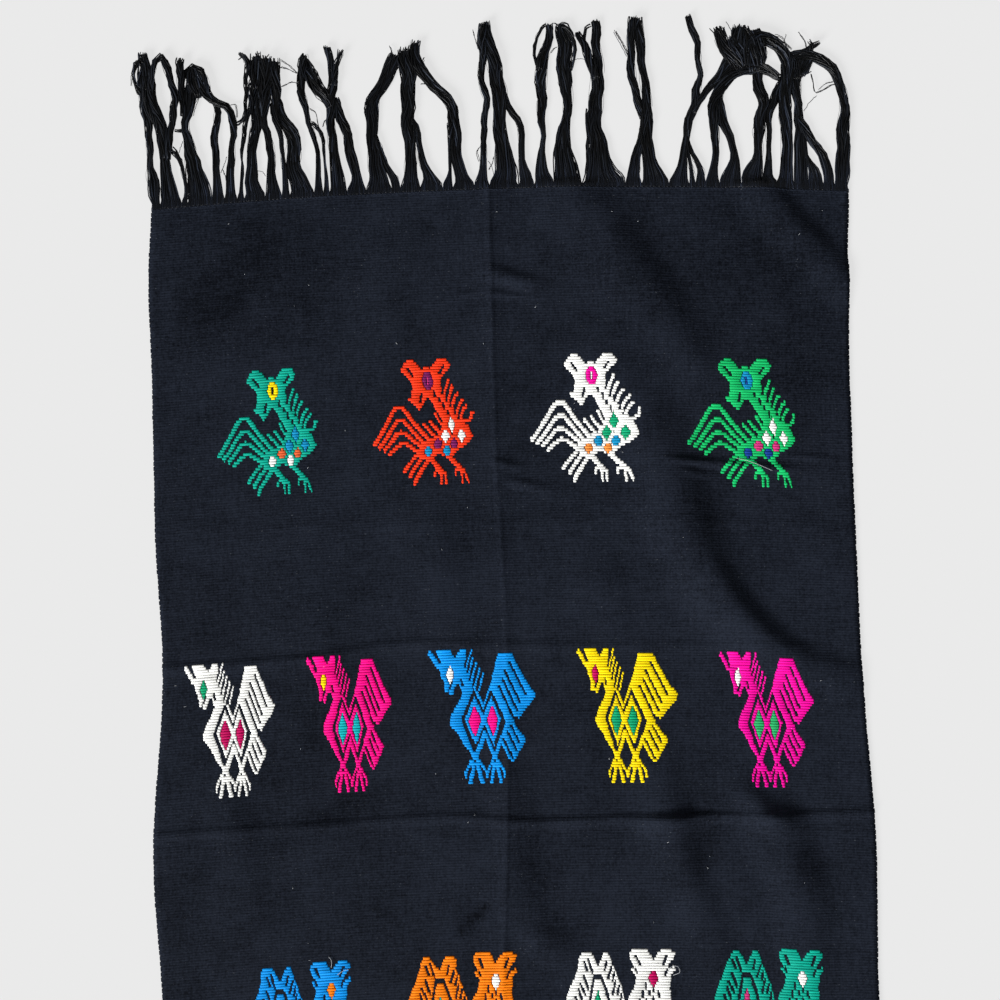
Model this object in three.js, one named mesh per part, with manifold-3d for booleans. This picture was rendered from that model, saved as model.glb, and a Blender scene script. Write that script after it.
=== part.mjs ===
// A hand-woven table runner lying flat: one cotton cloth with a warp fringe at each end.
// Millimetres, +Z up. X runs across the cloth and Y along it, with the head end towards +Y.
// The origin is on the underside at the middle of the cloth, on the surface that it lies on.
import * as THREE from 'three';
import { mergeVertices } from 'three/addons/utils/BufferGeometryUtils.js';
import Module from 'manifold-3d';

const wasm = await Module();
wasm.setup();

// ---- driving sizes ----
const LENGTH = 1524;            // cloth without its fringes, along the middle
const HALF_WIDTH = 190;
const THICKNESS = 1.5;
const HEAD_LINE = 765;          // Y of the head edge at the middle of the cloth
const WEFT_BOW = 6.5;           // the picks trail this far behind at the selvedges
const CLEARANCE = 0.3;          // between the cloth and each fringe
const SHOWN = 450;              // the head part, where the folds are close together
const FINE_STEP = 18;           // rows of the faceted sheet in the head part
const COARSE_STEP = 64;         // and in the rest
const SIDE_COLUMNS = 9;         // columns from each selvedge to the middle crease

// ---- the cloth's outline and folds: distances from the head edge, across from the middle ----
const SELVEDGES = [
  { fromHead: 0, left: 190, right: 192 },
  { fromHead: 40, left: 192, right: 190 },
  { fromHead: 110, left: 190.5, right: 188 },
  { fromHead: 170, left: 190, right: 187.5 },
  { fromHead: 252, left: 186.5, right: 187.5 },
  { fromHead: 355, left: 192.5, right: 191 },
  { fromHead: 432, left: 188.5, right: 189 },
  { fromHead: 560, left: 190.5, right: 190.5 },
  { fromHead: 765, left: 190, right: 190 },
  { fromHead: 1150, left: 191, right: 189 },
  { fromHead: LENGTH, left: 190, right: 191 },
];
const MIDDLE_CREASE = { half: 4, rise: 0.8 };
const CREASE_PATH = [
  { fromHead: 0, across: -4 },
  { fromHead: 150, across: -3 },
  { fromHead: 250, across: 0 },
  { fromHead: 345, across: -3 },
  { fromHead: 440, across: -8 },
  { fromHead: LENGTH, across: -9 },
];
const CROSS_CREASES = [
  { fromHead: 256, half: 5, rise: 0.7 },
  { fromHead: 348, half: 7, rise: 1.5 },
  { fromHead: 1180, half: 7, rise: 1.2 },
];
// soft swells: each is highest along a line from (x1, d1) to (x2, d2) and dies out at half
const SWELLS = [
  { name: 'right of the slant, upper', x1: 112, d1: 36, x2: 136, d2: 110, half: 34, rise: 2.2 },
  { name: 'right of the slant, lower', x1: 136, d1: 110, x2: 160, d2: 212, half: 34, rise: 2.6 },
  { name: 'small ridge in the slant', x1: 72, d1: 50, x2: 98, d2: 104, half: 13, rise: 0.9 },
  { name: 'left of the slant, upper', x1: 48, d1: 92, x2: 68, d2: 165, half: 26, rise: 2.0 },
  { name: 'left of the slant, lower', x1: 68, d1: 165, x2: 96, d2: 226, half: 28, rise: 2.6 },
  { name: 'foot of the slant', x1: 96, d1: 232, x2: 128, d2: 262, half: 17, rise: 1.5 },
  { name: 'right lower', x1: 122, d1: 366, x2: 128, d2: 440, half: 22, rise: 2.0 },
  { name: 'right lower, inner', x1: 78, d1: 370, x2: 84, d2: 440, half: 17, rise: 1.2 },
  { name: 'left middle', x1: -120, d1: 180, x2: -104, d2: 236, half: 34, rise: 1.2 },
  { name: 'middle', x1: -44, d1: 182, x2: -34, d2: 236, half: 28, rise: 1.2 },
  { name: 'left shoulder', x1: -160, d1: 62, x2: -120, d2: 34, half: 22, rise: 1.4 },
  { name: 'left lower', x1: -120, d1: 378, x2: -60, d2: 412, half: 26, rise: 1.2 },
  { name: 'hidden, right', x1: 90, d1: 600, x2: 120, d2: 700, half: 40, rise: 2.0 },
  { name: 'hidden, left', x1: -110, d1: 900, x2: -80, d2: 1040, half: 44, rise: 2.2 },
  { name: 'hidden, far', x1: 60, d1: 1260, x2: 100, d2: 1400, half: 44, rise: 2.0 },
];

// ---- the shown fringe: a row for each bundle of warp ends, from its root to its tip ----
// each bend is [reach past the head line, across, width of the bundle]
const BUNDLE_HEIGHT = 2.6;
const LONG_BUNDLE = 3;          // bundles with more bends than this are drawn more finely
const BUNDLES = [
  [[0, -188.5, 7], [24, -190.6, 5], [44, -191.3, 9.5], [60, -193.8, 10], [74, -192.5, 6]],
  [[0, -180, 9], [20, -181.8, 7.4], [34, -186, 8], [60, -191, 6]],
  [[20, -181, 5], [38, -177, 5], [58, -177.4, 5], [75, -183.6, 4.6]],
  [[76, -184, 4.2], [69, -186.4, 3.8], [61, -189.4, 3.6]],
  [[0, -163, 13], [14, -166.8, 8.6], [32, -171.2, 4.4], [46, -168.6, 9.5], [64, -164.8, 13]],
  [[54, -170, 6], [72, -173, 5]],
  [[0, -152.5, 5.5], [18, -154, 4.7], [34, -154.2, 4.6], [47, -151.5, 4]],
  [[0, -145.5, 5], [22, -144.7, 4], [38, -143.3, 4.8], [47, -152, 4.5], [56, -163, 9]],
  [[0, -140.5, 3], [26, -139.6, 2.4], [46, -135.4, 3.6], [66, -136.5, 3], [76, -139.4, 2.4]],
  [[0, -133.5, 10], [12, -134.4, 6.6], [32, -132.8, 6.6], [54, -130.4, 9], [76, -130, 9]],
  [[0, -122.5, 7], [14, -124.4, 4.4], [38, -126.6, 4], [58, -125.8, 8], [76, -124, 9]],
  [[0, -109.5, 16], [12, -113, 10], [24, -113, 12.5], [42, -118.6, 8], [74, -120.5, 8]],
  [[70, -118, 3], [63, -107, 3]],
  [[0, -98.5, 4.4], [24, -99.6, 3.8], [46, -105, 3.2], [60, -108, 4.6], [69, -106, 8.6], [76, -104.5, 4.5]],
  [[66, -104, 9], [56, -96.5, 6.5], [50, -91, 6]],
  [[0, -87.5, 8.5], [22, -89.8, 6.6], [36, -91, 4.8], [50, -90.2, 6.5], [66, -89, 5], [80, -93.3, 3]],
  [[66, -88.6, 4], [78, -84.8, 3]],
  [[0, -77.5, 8], [19, -80.4, 8.6], [32, -83, 5.6], [48, -87.8, 5]],
  [[0, -61.5, 17], [10, -65, 12], [28, -68.3, 6.4], [47, -69, 7.4], [62, -61, 7.4], [79, -54, 10]],
  [[0, -47, 11], [18, -46.6, 8], [40, -49.2, 8.6], [62, -47.8, 8.6], [81, -49, 12]],
  [[0, -35.5, 9], [14, -40.4, 5], [36, -46, 4]],
  [[0, -20.5, 13], [18, -23.3, 8], [42, -24.6, 6.2], [54, -32.4, 6.2], [66, -43, 9], [83, -42.5, 6]],
  [[0, -8, 5.8], [30, -7.4, 4.5], [46, -5, 4.5], [66, -7.4, 5], [91, -6, 6]],
  [[0, 4, 16], [22, 3.4, 10.4], [38, 1.7, 7.2], [52, 2.3, 8.6], [76, -1.9, 8.5], [94, -5, 6.5]],
  [[0, 16, 8], [14, 14.2, 4.5], [34, 12.2, 4.4], [52, 3.8, 5]],
  [[0, 25, 10.5], [14, 24, 6.4], [28, 25.1, 3.2], [48, 25.2, 5.6], [66, 25.8, 7.6], [92, 29.6, 3.6]],
  [[0, 38, 16], [22, 37.9, 12.4], [36, 39.6, 6.6], [52, 39.2, 5.4], [70, 37.5, 9.2], [91, 35.5, 4.6]],
  [[0, 57, 20], [16, 55.3, 14], [34, 53.9, 7.8], [56, 55.8, 8.8], [76, 55, 5.2], [91, 56, 5]],
  [[64, 53.4, 5], [76, 49.4, 4.4], [85, 45.6, 3.6]],
  [[0, 75.5, 6.4], [12, 75.8, 6], [24, 80.6, 6]],
  [[0, 85.5, 13], [12, 84, 8.2], [34, 82.7, 8.2], [54, 82.8, 4.6], [76, 79.9, 5], [93, 77.8, 7]],
  [[38, 81, 6], [50, 77, 4.6], [72, 74.8, 4.8], [93, 76.5, 6]],
  [[0, 103.5, 18], [10, 103.4, 11], [20, 104, 5], [40, 108, 5], [62, 112, 3], [78, 111.2, 3.2], [91, 107, 3]],
  [[32, 106.3, 4], [46, 112.6, 4], [58, 122, 6.6], [68, 132, 10]],
  [[0, 118, 8], [16, 120, 3.8], [34, 119.3, 6.6], [48, 121.6, 7], [62, 131, 10]],
  [[0, 128, 11], [10, 130.7, 5], [24, 126.4, 5], [38, 121.8, 5]],
  [[0, 139.5, 12], [12, 143, 6], [28, 144.3, 6.8], [42, 147.2, 7], [54, 143.4, 6.2], [68, 140, 14]],
  [[60, 134, 12], [72, 134, 18], [82, 125, 10]],
  [[75, 138, 12], [76, 152, 7.6], [68, 164, 8], [64, 175, 6]],
  [[62, 143, 5], [57, 158, 5]],
  [[0, 148, 6.2], [20, 149.3, 3.2], [42, 150, 7], [50, 157.5, 7.6], [64, 163, 9]],
  [[0, 158.5, 10.4], [20, 160.8, 9], [34, 158.2, 9.4], [50, 160, 9], [66, 163, 9]],
  [[0, 170, 14], [10, 167.6, 7.6], [30, 166.4, 5.6], [48, 165.3, 5.8], [62, 168, 10]],
  [[0, 180, 6.4], [10, 177.6, 5], [23, 168.5, 5.4]],
  [[0, 188, 8.6], [18, 189.5, 8.6], [38, 190.2, 5.6], [50, 187, 5.2], [60, 179.6, 5.4], [66, 168, 8]],
];
const ROOT_BAND = 4.5;          // the band of ends just past the last pick, which joins the bundles
const SIDE_CUT = 20;            // how deep the roots are trimmed on the side of the cloth

// ---- the far fringe: plain even bundles ----
const FAR = { bundles: 34, waistReach: 20, waist: 5, tipReach: 82, tip: 4.4, sway: 3, spread: 5 };

// a soft bump: 1 in the middle, 0 from the half width outwards
function bell(distance, half) {
  const t = Math.abs(distance) / half;
  return t < 1 ? Math.cos(t * Math.PI / 2) ** 2 : 0;
}

// a smooth value between the rows of a table, by distance from the head edge
function along(table, column, fromHead) {
  const last = table.length - 1;
  let i = 0;
  while (i < last - 1 && fromHead > table[i + 1].fromHead) i += 1;
  const a = table[i];
  const b = table[i + 1];
  const t = THREE.MathUtils.clamp((fromHead - a.fromHead) / (b.fromHead - a.fromHead), 0, 1);
  return a[column] + (b[column] - a[column]) * (1 - Math.cos(t * Math.PI)) / 2;
}

// distance from a point of the cloth to the line of a swell
function offLine(x, d, swell) {
  const dx = swell.x2 - swell.x1;
  const dd = swell.d2 - swell.d1;
  const t = ((x - swell.x1) * dx + (d - swell.d1) * dd) / (dx * dx + dd * dd);
  const on = THREE.MathUtils.clamp(t, 0, 1);
  return Math.hypot(x - swell.x1 - on * dx, d - swell.d1 - on * dd);
}

// how far the cloth stands off the surface
function rise(x, fromHead) {
  const crease = along(CREASE_PATH, 'across', fromHead);
  let height = MIDDLE_CREASE.rise * bell(x - crease, MIDDLE_CREASE.half);
  for (const fold of CROSS_CREASES) height += fold.rise * bell(fromHead - fold.fromHead, fold.half);
  for (const swell of SWELLS) height += swell.rise * bell(offLine(x, fromHead, swell), swell.half);
  return height;
}

// the picks curve: Y drops towards the selvedges
function bow(x) {
  return -WEFT_BOW * (x / HALF_WIDTH) ** 2;
}

// moves every corner of a subdivided block; u, v run 0..steps across and along it, top is 0 or 1
function shapedBlock(across, lengthwise, place) {
  const geometry = new THREE.BoxGeometry(1, 1, 1, across, lengthwise, 1);
  geometry.deleteAttribute('normal');
  geometry.deleteAttribute('uv');
  const merged = mergeVertices(geometry, 1e-4);
  const position = merged.getAttribute('position');
  for (let i = 0; i < position.count; i += 1) {
    const u = Math.round((position.getX(i) + 0.5) * across);
    const v = Math.round((position.getY(i) + 0.5) * lengthwise);
    const top = position.getZ(i) > 0 ? 1 : 0;
    position.setXYZ(i, ...place(u, v, top));
  }
  return merged;
}

// the rows of the faceted sheet, from the foot edge to the head edge
function sheetRows() {
  const creases = CROSS_CREASES.flatMap((fold) => [-fold.half, 0, fold.half].map((off) => fold.fromHead + off));
  const rows = [0, LENGTH, ...creases];
  const near = (d) => rows.some((row) => Math.abs(row - d) < FINE_STEP / 2);
  for (let d = FINE_STEP; d < SHOWN; d += FINE_STEP) if (!near(d)) rows.push(d);
  for (let d = SHOWN; d < LENGTH; d += COARSE_STEP) if (!near(d)) rows.push(d);
  return rows.sort((a, b) => b - a);
}

// where a column of the faceted sheet lies at this distance from the head edge
function columnPlace(column, fromHead) {
  const crease = along(CREASE_PATH, 'across', fromHead);
  const left = -along(SELVEDGES, 'left', fromHead);
  const right = along(SELVEDGES, 'right', fromHead);
  const half = MIDDLE_CREASE.half;
  if (column <= SIDE_COLUMNS) return left + (crease - half - left) * column / SIDE_COLUMNS;
  if (column === SIDE_COLUMNS + 1) return crease;
  return crease + half + (right - crease - half) * (column - SIDE_COLUMNS - 2) / SIDE_COLUMNS;
}

function clothGeometry() {
  const rows = sheetRows();
  return shapedBlock(2 * SIDE_COLUMNS + 2, rows.length - 1, (u, v, top) => {
    const fromHead = rows[v];
    const x = columnPlace(u, fromHead);
    return [x, HEAD_LINE - fromHead + bow(x), rise(x, fromHead) + top * THICKNESS];
  });
}

// one bundle of warp ends: a low bar along a smooth line, narrower on top
function bundleGeometry(bends, height, stepsPerBend) {
  const line = new THREE.CatmullRomCurve3(
    bends.map(([reach, across]) => new THREE.Vector3(across, reach, 0)),
    false,
    'centripetal',
  );
  const steps = (bends.length - 1) * stepsPerBend;
  return shapedBlock(1, steps, (u, v, top) => {
    const t = v / steps;
    const at = line.getPoint(t);
    const heading = line.getTangent(t);
    const i = Math.min(Math.floor(v / stepsPerBend), bends.length - 2);
    const width = THREE.MathUtils.lerp(bends[i][2], bends[i + 1][2], v / stepsPerBend - i);
    const side = (u - 0.5) * width * (top ? 0.62 : 1);
    return [at.x + side * heading.y, at.y - side * heading.x, top * height];
  });
}

// a strip that follows the edge of the cloth from near to far of it; end is 1 at the head and -1 at the foot
function edgeStrip(end, near, far, low, high) {
  const edge = end > 0 ? HEAD_LINE : HEAD_LINE - LENGTH;
  const fromHead = end > 0 ? 0 : LENGTH;
  const left = -along(SELVEDGES, 'left', fromHead);
  const right = along(SELVEDGES, 'right', fromHead);
  const steps = 16;
  return shapedBlock(steps, 1, (u, v, top) => {
    const x = left + (right - left) * u / steps;
    const off = (end > 0) === (v === 1) ? far : near;
    return [x, edge + bow(x) + end * off, top ? high : low];
  });
}

const rootBand = (end) => edgeStrip(end, CLEARANCE, CLEARANCE + ROOT_BAND, 0, THICKNESS);
const clothSide = (end) => edgeStrip(end, -SIDE_CUT, CLEARANCE, -1, SIDE_CUT);

function toSolid(geometry) {
  return new wasm.Manifold(new wasm.Mesh({
    numProp: 3,
    vertProperties: Float32Array.from(geometry.getAttribute('position').array),
    triVerts: Uint32Array.from(geometry.index.array),
  }));
}

function toGeometry(solid) {
  const { vertProperties, triVerts } = solid.getMesh();
  const geometry = new THREE.BufferGeometry();
  geometry.setAttribute('position', new THREE.BufferAttribute(vertProperties, 3));
  geometry.setIndex(new THREE.BufferAttribute(triVerts, 1));
  return geometry;
}

// joins the bundles to the band at their roots, and trims the roots at the edge of the cloth
function comb(end, bundles) {
  const whole = [rootBand(end), ...bundles].map(toSolid).reduce((sum, bundle) => sum.add(bundle));
  return toGeometry(whole.subtract(toSolid(clothSide(end))));
}

const bundleHeight = (i) => BUNDLE_HEIGHT - 0.3 * (i % 3);

function headFringeGeometry() {
  const bundles = BUNDLES.map((bends, i) => {
    const shape = bends.map(([reach, across, width]) => {
      const inner = Math.max(0, Math.abs(across) - width / 2);
      const rooted = reach === 0 ? bow(inner) + CLEARANCE + ROOT_BAND / 2 : reach;
      return [HEAD_LINE + rooted, across, width];
    });
    return bundleGeometry(shape, bundleHeight(i), bends.length > LONG_BUNDLE ? 2 : 1);
  });
  return comb(1, bundles);
}

function footFringeGeometry() {
  const pitch = 2 * HALF_WIDTH / FAR.bundles;
  const foot = HEAD_LINE - LENGTH;
  const bundles = Array.from({ length: FAR.bundles }, (_, i) => {
    const across = (i + 0.5) * pitch - HALF_WIDTH;
    const sway = FAR.sway * Math.sin(2.4 * i);
    const reach = FAR.tipReach + FAR.spread * Math.sin(1.7 * i + 1);
    const root = foot + bow(across) - CLEARANCE - ROOT_BAND / 2;
    return bundleGeometry([
      [root - reach, across + sway, FAR.tip],
      [root - FAR.waistReach, across + sway / 4, FAR.waist],
      [root, across, pitch - 1],
    ], bundleHeight(i), 1);
  });
  return comb(-1, bundles);
}

const yarnBlack = new THREE.MeshStandardMaterial({ color: 0x1d232c, roughness: 0.92, metalness: 0 });
const fringeBlack = new THREE.MeshStandardMaterial({ color: 0x15181d, roughness: 0.85, metalness: 0 });

function piece(name, geometry, material) {
  const mesh = new THREE.Mesh(geometry, material);
  mesh.name = name;
  return mesh;
}

const runner = new THREE.Group();
runner.add(
  piece('cloth', clothGeometry(), yarnBlack),
  piece('fringe_head', headFringeGeometry(), fringeBlack),
  piece('fringe_foot', footFringeGeometry(), fringeBlack),
);

export default runner;
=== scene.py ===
"""The looks of a hand-woven table runner lying flat: black cotton cloth with rows of brocaded
animals, selvedges, a heading twist along each end and a warp fringe of single yarns.
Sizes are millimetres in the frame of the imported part: X across, Y along, the head end at +Y.
Points become metres only where a mesh is made."""
import math
import bpy
import numpy as np
from mathutils import Matrix, Vector


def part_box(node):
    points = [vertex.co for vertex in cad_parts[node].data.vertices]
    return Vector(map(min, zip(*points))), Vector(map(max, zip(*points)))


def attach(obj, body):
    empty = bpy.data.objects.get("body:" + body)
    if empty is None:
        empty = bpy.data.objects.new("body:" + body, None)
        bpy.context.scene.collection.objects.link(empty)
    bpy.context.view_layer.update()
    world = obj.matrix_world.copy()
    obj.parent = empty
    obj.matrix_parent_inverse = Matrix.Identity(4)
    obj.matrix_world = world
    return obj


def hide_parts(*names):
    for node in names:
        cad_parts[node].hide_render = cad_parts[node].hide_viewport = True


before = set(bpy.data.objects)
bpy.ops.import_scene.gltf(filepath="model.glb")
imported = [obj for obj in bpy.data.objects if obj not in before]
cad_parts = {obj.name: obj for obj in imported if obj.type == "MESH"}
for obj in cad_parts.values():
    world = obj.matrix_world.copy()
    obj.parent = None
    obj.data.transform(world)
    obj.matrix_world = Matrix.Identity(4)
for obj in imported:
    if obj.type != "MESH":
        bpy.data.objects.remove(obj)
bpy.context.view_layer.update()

MM = 0.001

# ---- driving sizes, as in the part's source ----
LENGTH = 1524                       # cloth without its fringes, along the middle
HALF_WIDTH = 190
THICKNESS = 1.5
HEAD_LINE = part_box("cloth")[1].y / MM
FOOT_LINE = HEAD_LINE - LENGTH
WEFT_BOW = 6.5                      # the picks trail this far behind at the selvedges
SHOWN = 450                         # the head part, where the folds are close together

# ---- the sheet's mesh ----
# (from here on, cell) across from the left to the right edge, and from the head edge to the foot
CELLS_ACROSS = ((-190, 2.7), (-14, 1.4), (-9, 0.8), (0, 1.4), (9, 2.7))
CELLS_ALONG = ((0, 2.7), (40, 1.3), (66, 2.7), (144, 1.3), (170, 2.7), (244, 1.4), (257, 2.7),
               (336, 1.2), (349, 2.7), (SHOWN, 18))

# ---- the weave ----
PICK = 1.4                          # from one brocade pick to the next
WARP_PAIR = 0.5                     # the step of a brocade float across
WEFT_RADIUS = 0.55                  # of a weft yarn turning back at the selvedge
TWIST_RADIUS = 0.36                 # of each yarn of the twist along an end
TWIST_PITCH = 4.6


def table(columns, *rows):
    """A short table: each row becomes a dict with the named columns."""
    names = columns.split()
    return [dict(zip(names, row)) for row in rows]


SELVEDGES = table(
    "from_head left right",
    (0, 190, 192),
    (40, 192, 190),
    (110, 190.5, 188),
    (170, 190, 187.5),
    (252, 186.5, 187.5),
    (355, 192.5, 191),
    (432, 188.5, 189),
    (560, 190.5, 190.5),
    (765, 190, 190),
    (1150, 191, 189),
    (LENGTH, 190, 191),
)

# ---- folds ----
# left and right are how far the fold reaches to each side of its crest,
# and the crest runs through points of (across, from the head edge, rise)
FOLDS = table(
    "name left right crest",
    ("middle crease", 16, 9, ((-5.2, -2, .7), (-5.2, 60, .8), (-4.9, 146, .8), (-2, 250, .8),
        (-4, 344, 1), (-9, 440, .8), (-10, 765, .8), (-10, 1530, .8))),
    ("middle line", 3, 2.4, ((-5.3, -2, .7), (-5.3, 50, .7), (-4.9, 146, .5), (-2, 250, .45),
        (-4.4, 344, .7), (-9.2, 440, .6), (-10, 1530, .6))),
    ("upper cross crease", 6, 3, ((-192, 252, .9), (-100, 252, 1), (-62, 248, .8), (0, 251, .6),
        (90, 252, .3), (192, 250, .2))),
    ("lower cross crease", 5.5, 2.8, ((-192, 340, .8), (-97, 341.5, .8), (-28, 341, .9), (0, 344, 1.1),
        (70, 343, 1.2), (140, 341, 1.1), (192, 338, .8))),
    ("faint cross crease", 3.2, 2.6, ((-190, 177, .2), (-115, 181, .3), (0, 185, .4), (93, 185, .45),
        (190, 188, .4))),
    ("far cross crease", 8, 6, ((-192, 1176, .9), (0, 1180, 1.1), (192, 1175, .9))),
    ("upper slant", 34, 20, ((38, -2, 1.6), (50, 14, 2.8), (66, 36, 3.6), (84, 62, 3.8), (100, 92, 3.1),
        (112, 112, 1.4), (120, 126, 0))),
    ("main slant top", 30, 24, ((46, 66, 0), (62, 96, 2), (77, 126, 3.6), (87, 160, 4.8), (97, 190, 4.8),
        (110, 216, 2.8), (124, 238, 0))),
    ("main slant foot", 26, 13, ((96, 186, 0), (108, 210, 2.4), (127, 238, 4.8), (150, 257, 3.8),
        (190, 268, 1.6))),
    ("corner", 20, 13, ((142, -2, 2.4), (152, 10, 3.2), (165, 26, 3.8), (178, 40, 3.2), (192, 54, 2.2))),
    ("right lower", 22, 21, ((118, 322, 0), (128, 336, 2.2), (139, 350, 3.2), (144, 364, 3.8),
        (149, 382, 3.6), (153, 410, 2.6), (156, 450, 1.4), (158, 520, 0))),
    ("inner lower", 22, 15, ((74, 286, 0), (79, 320, 1.8), (83, 346, 2.8), (88, 366, 3), (95, 386, 2.6),
        (102, 410, 1.4), (108, 450, 0))),
    ("beside the middle", 16, 17, ((-5, 290, 0), (-2, 325, 1), (0, 352, 1.5), (1, 372, 1.9),
        (3, 390, 1.9), (10, 404, 1.5), (22, 416, .8), (38, 430, 0))),
    ("left shoulder", 14, 26, ((-96, 6, 1), (-108, 26, 2), (-122, 46, 2.2), (-140, 62, 1.9),
        (-162, 78, .9), (-180, 92, 0))),
    ("second shoulder", 12, 20, ((-46, 16, 0), (-56, 30, 1.2), (-70, 44, 1.3), (-90, 56, 0))),
    ("left low swell", 14, 13, ((-138, 362, 0), (-118, 354, 1.5), (-102, 345, 1.8), (-88, 338, 0))),
    ("left foot swell", 18, 12, ((-158, 300, 0), (-152, 330, 1.3), (-143, 360, 1.1), (-140, 390, 0))),
    ("left middle swell", 34, 34, ((-120, 180, .8), (-104, 236, 1.4), (-100, 262, .5))),
    ("middle swell", 28, 24, ((-46, 176, .6), (-40, 206, 1.4), (-34, 240, .6))),
    ("right neck swell", 26, 20, ((40, 196, 0), (52, 226, 1.3), (60, 252, .8))),
    ("lens", 8, 7, ((-8, 47, .6), (2, 50.4, 2), (12, 53.4, 1.9), (26, 56, 0))),
    ("below the lens", 3, 2.8, ((-8, 59.4, .5), (2, 60.6, .9), (14, 62, .5), (26, 62, 0))),
    ("left of the lens", 3, 2.8, ((-27, 60, 0), (-19, 60, .8), (-11, 59, 0))),
    ("short crease one", 3.4, 3.2, ((84, 152, 0), (98, 152.8, 1.5), (116, 154, 1.5), (134, 155.4, 1.1),
        (150, 156, 1.1), (163, 156.6, 0))),
    ("short crease two", 3, 2.8, ((90, 157, 0), (102, 159.2, .9), (114, 161, 0))),
    ("short crease three", 2.8, 2.6, ((148, 148.6, 0), (166, 149.4, .7), (187, 151, 0))),
    ("short crease four", 4, 3.4, ((-6, 152, .6), (3, 154, 1), (11, 155, 0))),
    ("short crease five", 4.4, 4, ((-2, 162, 0), (8, 164, 1.1), (16, 166, 1), (26, 168.6, 0))),
    ("short crease six", 3, 3, ((-74, 9, 0), (-60, 9.5, .8), (-46, 9, 0))),
    ("short crease seven", 3, 3, ((-68, 15, 0), (-58, 14.6, .6), (-46, 14, 0))),
    ("pit one", 9, 5.4, ((60, 348, 0), (74, 346, 1.9), (86, 345, 2.2), (98, 344, 1), (108, 343, 0))),
    ("pit two", 12, 9, ((121, 322, 0), (126.5, 332, 1.5), (132, 340, 2.5), (141, 344.6, 2.6),
        (154, 346, 1.2), (165, 346, 0))),
    ("hidden right", 40, 30, ((84, 580, 0), (96, 630, 1.6), (112, 680, 1.8), (120, 730, 0))),
    ("hidden left", 34, 44, ((-116, 880, 0), (-104, 940, 1.8), (-88, 1010, 1.7), (-80, 1060, 0))),
    ("hidden far", 44, 32, ((56, 1240, 0), (70, 1300, 1.6), (90, 1370, 1.7), (102, 1420, 0))),
)
# painted shade and light: patches where the cloth's colour is painted darker for the shade of its folds and
# creases, or (below 0) paler where they catch the light
PAINTED_SHADE_AND_LIGHT = table(
    "across from_head reach_across reach_along deeper",
    (-140, 46, 48, 36, .22),
    (-162, 62, 20, 15, .13),
    (-143, 44, 20, 15, .14),
    (-124, 24, 18, 17, .2),
    (-72, 36, 30, 20, .15),
    (-40, 30, 20, 26, .08),
    (30, 60, 30, 50, .07),
    (74, 40, 14, 30, .12),
    (120, 40, 62, 44, .17),
    (166, 30, 24, 34, .14),
    (150, 112, 46, 36, .16),
    (108, 178, 15, 38, .24),
    (74, 188, 15, 42, .1),
    (96, 52, 12, 24, .14),
    (3, 46, 9, 4, .22),
    (102, 150.4, 15, 2.4, .26),
    (146, 153.4, 14, 2.4, .2),
    (134, 226, 9, 16, .12),
    (16, 128, 14, 70, .1),
    (11, 368, 12, 40, .26),
    (22, 402, 12, 9, .12),
    (-178, 385, 22, 52, .18),
    (-130, 330, 60, 60, .12),
    (-120, 200, 70, 60, .05),
    (160, 366, 22, 26, .18),
    (97, 362, 10, 24, .14),
    (-76, 326, 7, 5, .14),
    (-87, 330, 8, 5, .3),
    (-99, 337, 9, 5, .16),
    # these four in a row paint the dark line of a small crease, as painted shade
    (-18, 389, 2.6, 2.4, .6),
    (-22, 393, 2.6, 2.4, .7),
    (-26, 397, 2.6, 2.4, .7),
    (-30, 401, 2.6, 2.4, .6),
    (-175, 110, 18, 40, .07),
    (72, 240, 52, 20, -.12),
    (122, 250, 18, 10, -.16),
    (-30, 226, 36, 28, -.08),
    (60, 392, 34, 18, -.18),
    (6, 404, 8, 8, -.12),
    (120, 376, 18, 26, -.06),
    (-110, 108, 8, 7, -.16),
    (-82, 158, 6, 6, -.16),
    (60, 330, 60, 14, -.05),
)
PUCKER = 0.1                        # height of the small unevenness all over
PUCKER_WAVES = 14

# ---- yarn colours, as they look in daylight ----
YARNS = {
    "teal": (0, 168, 144),
    "vermilion": (246, 58, 20),
    "white": (250, 250, 246),
    "green": (18, 188, 104),
    "pink": (255, 0, 138),
    "blue": (0, 148, 234),
    "yellow": (254, 224, 0),
    "magenta": (244, 0, 158),
    "orange": (254, 132, 4),
    "sky": (12, 142, 192),
    "rust": (228, 100, 54),
    "apricot": (246, 146, 62),
    "rose": (208, 52, 124),
    "deep blue": (20, 62, 146),
    "purple": (120, 26, 92),
    "crimson": (192, 0, 90),
    "turquoise": (10, 178, 184),
    "light green": (46, 180, 106),
    "fern": (6, 164, 112),
    "black": (17, 19, 24),
}
GROUND_DEEP = (8, 11, 18)           # the cloth's black, from its deepest to its palest
GROUND_PALE = (33, 38, 49)
FLECK = (100, 104, 110)


def linear(colour):
    """A colour from 0 to 255 as the shader's light values."""
    share = np.asarray(colour, float) / 255
    return np.where(share <= 0.04045, share / 12.92, ((share + 0.055) / 1.055) ** 2.4)


# ---------------------------------------------------------------- shapes of the cloth

def along(rows, column, place):
    """A smooth value between the rows of a table, by distance from the head edge."""
    stops = np.array([row["from_head"] for row in rows], float)
    values = np.array([row[column] for row in rows], float)
    place = np.clip(place, stops[0], stops[-1])
    i = np.clip(np.searchsorted(stops, place, side="right") - 1, 0, len(stops) - 2)
    t = (place - stops[i]) / (stops[i + 1] - stops[i])
    return values[i] + (values[i + 1] - values[i]) * (1 - np.cos(np.pi * t)) / 2


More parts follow.
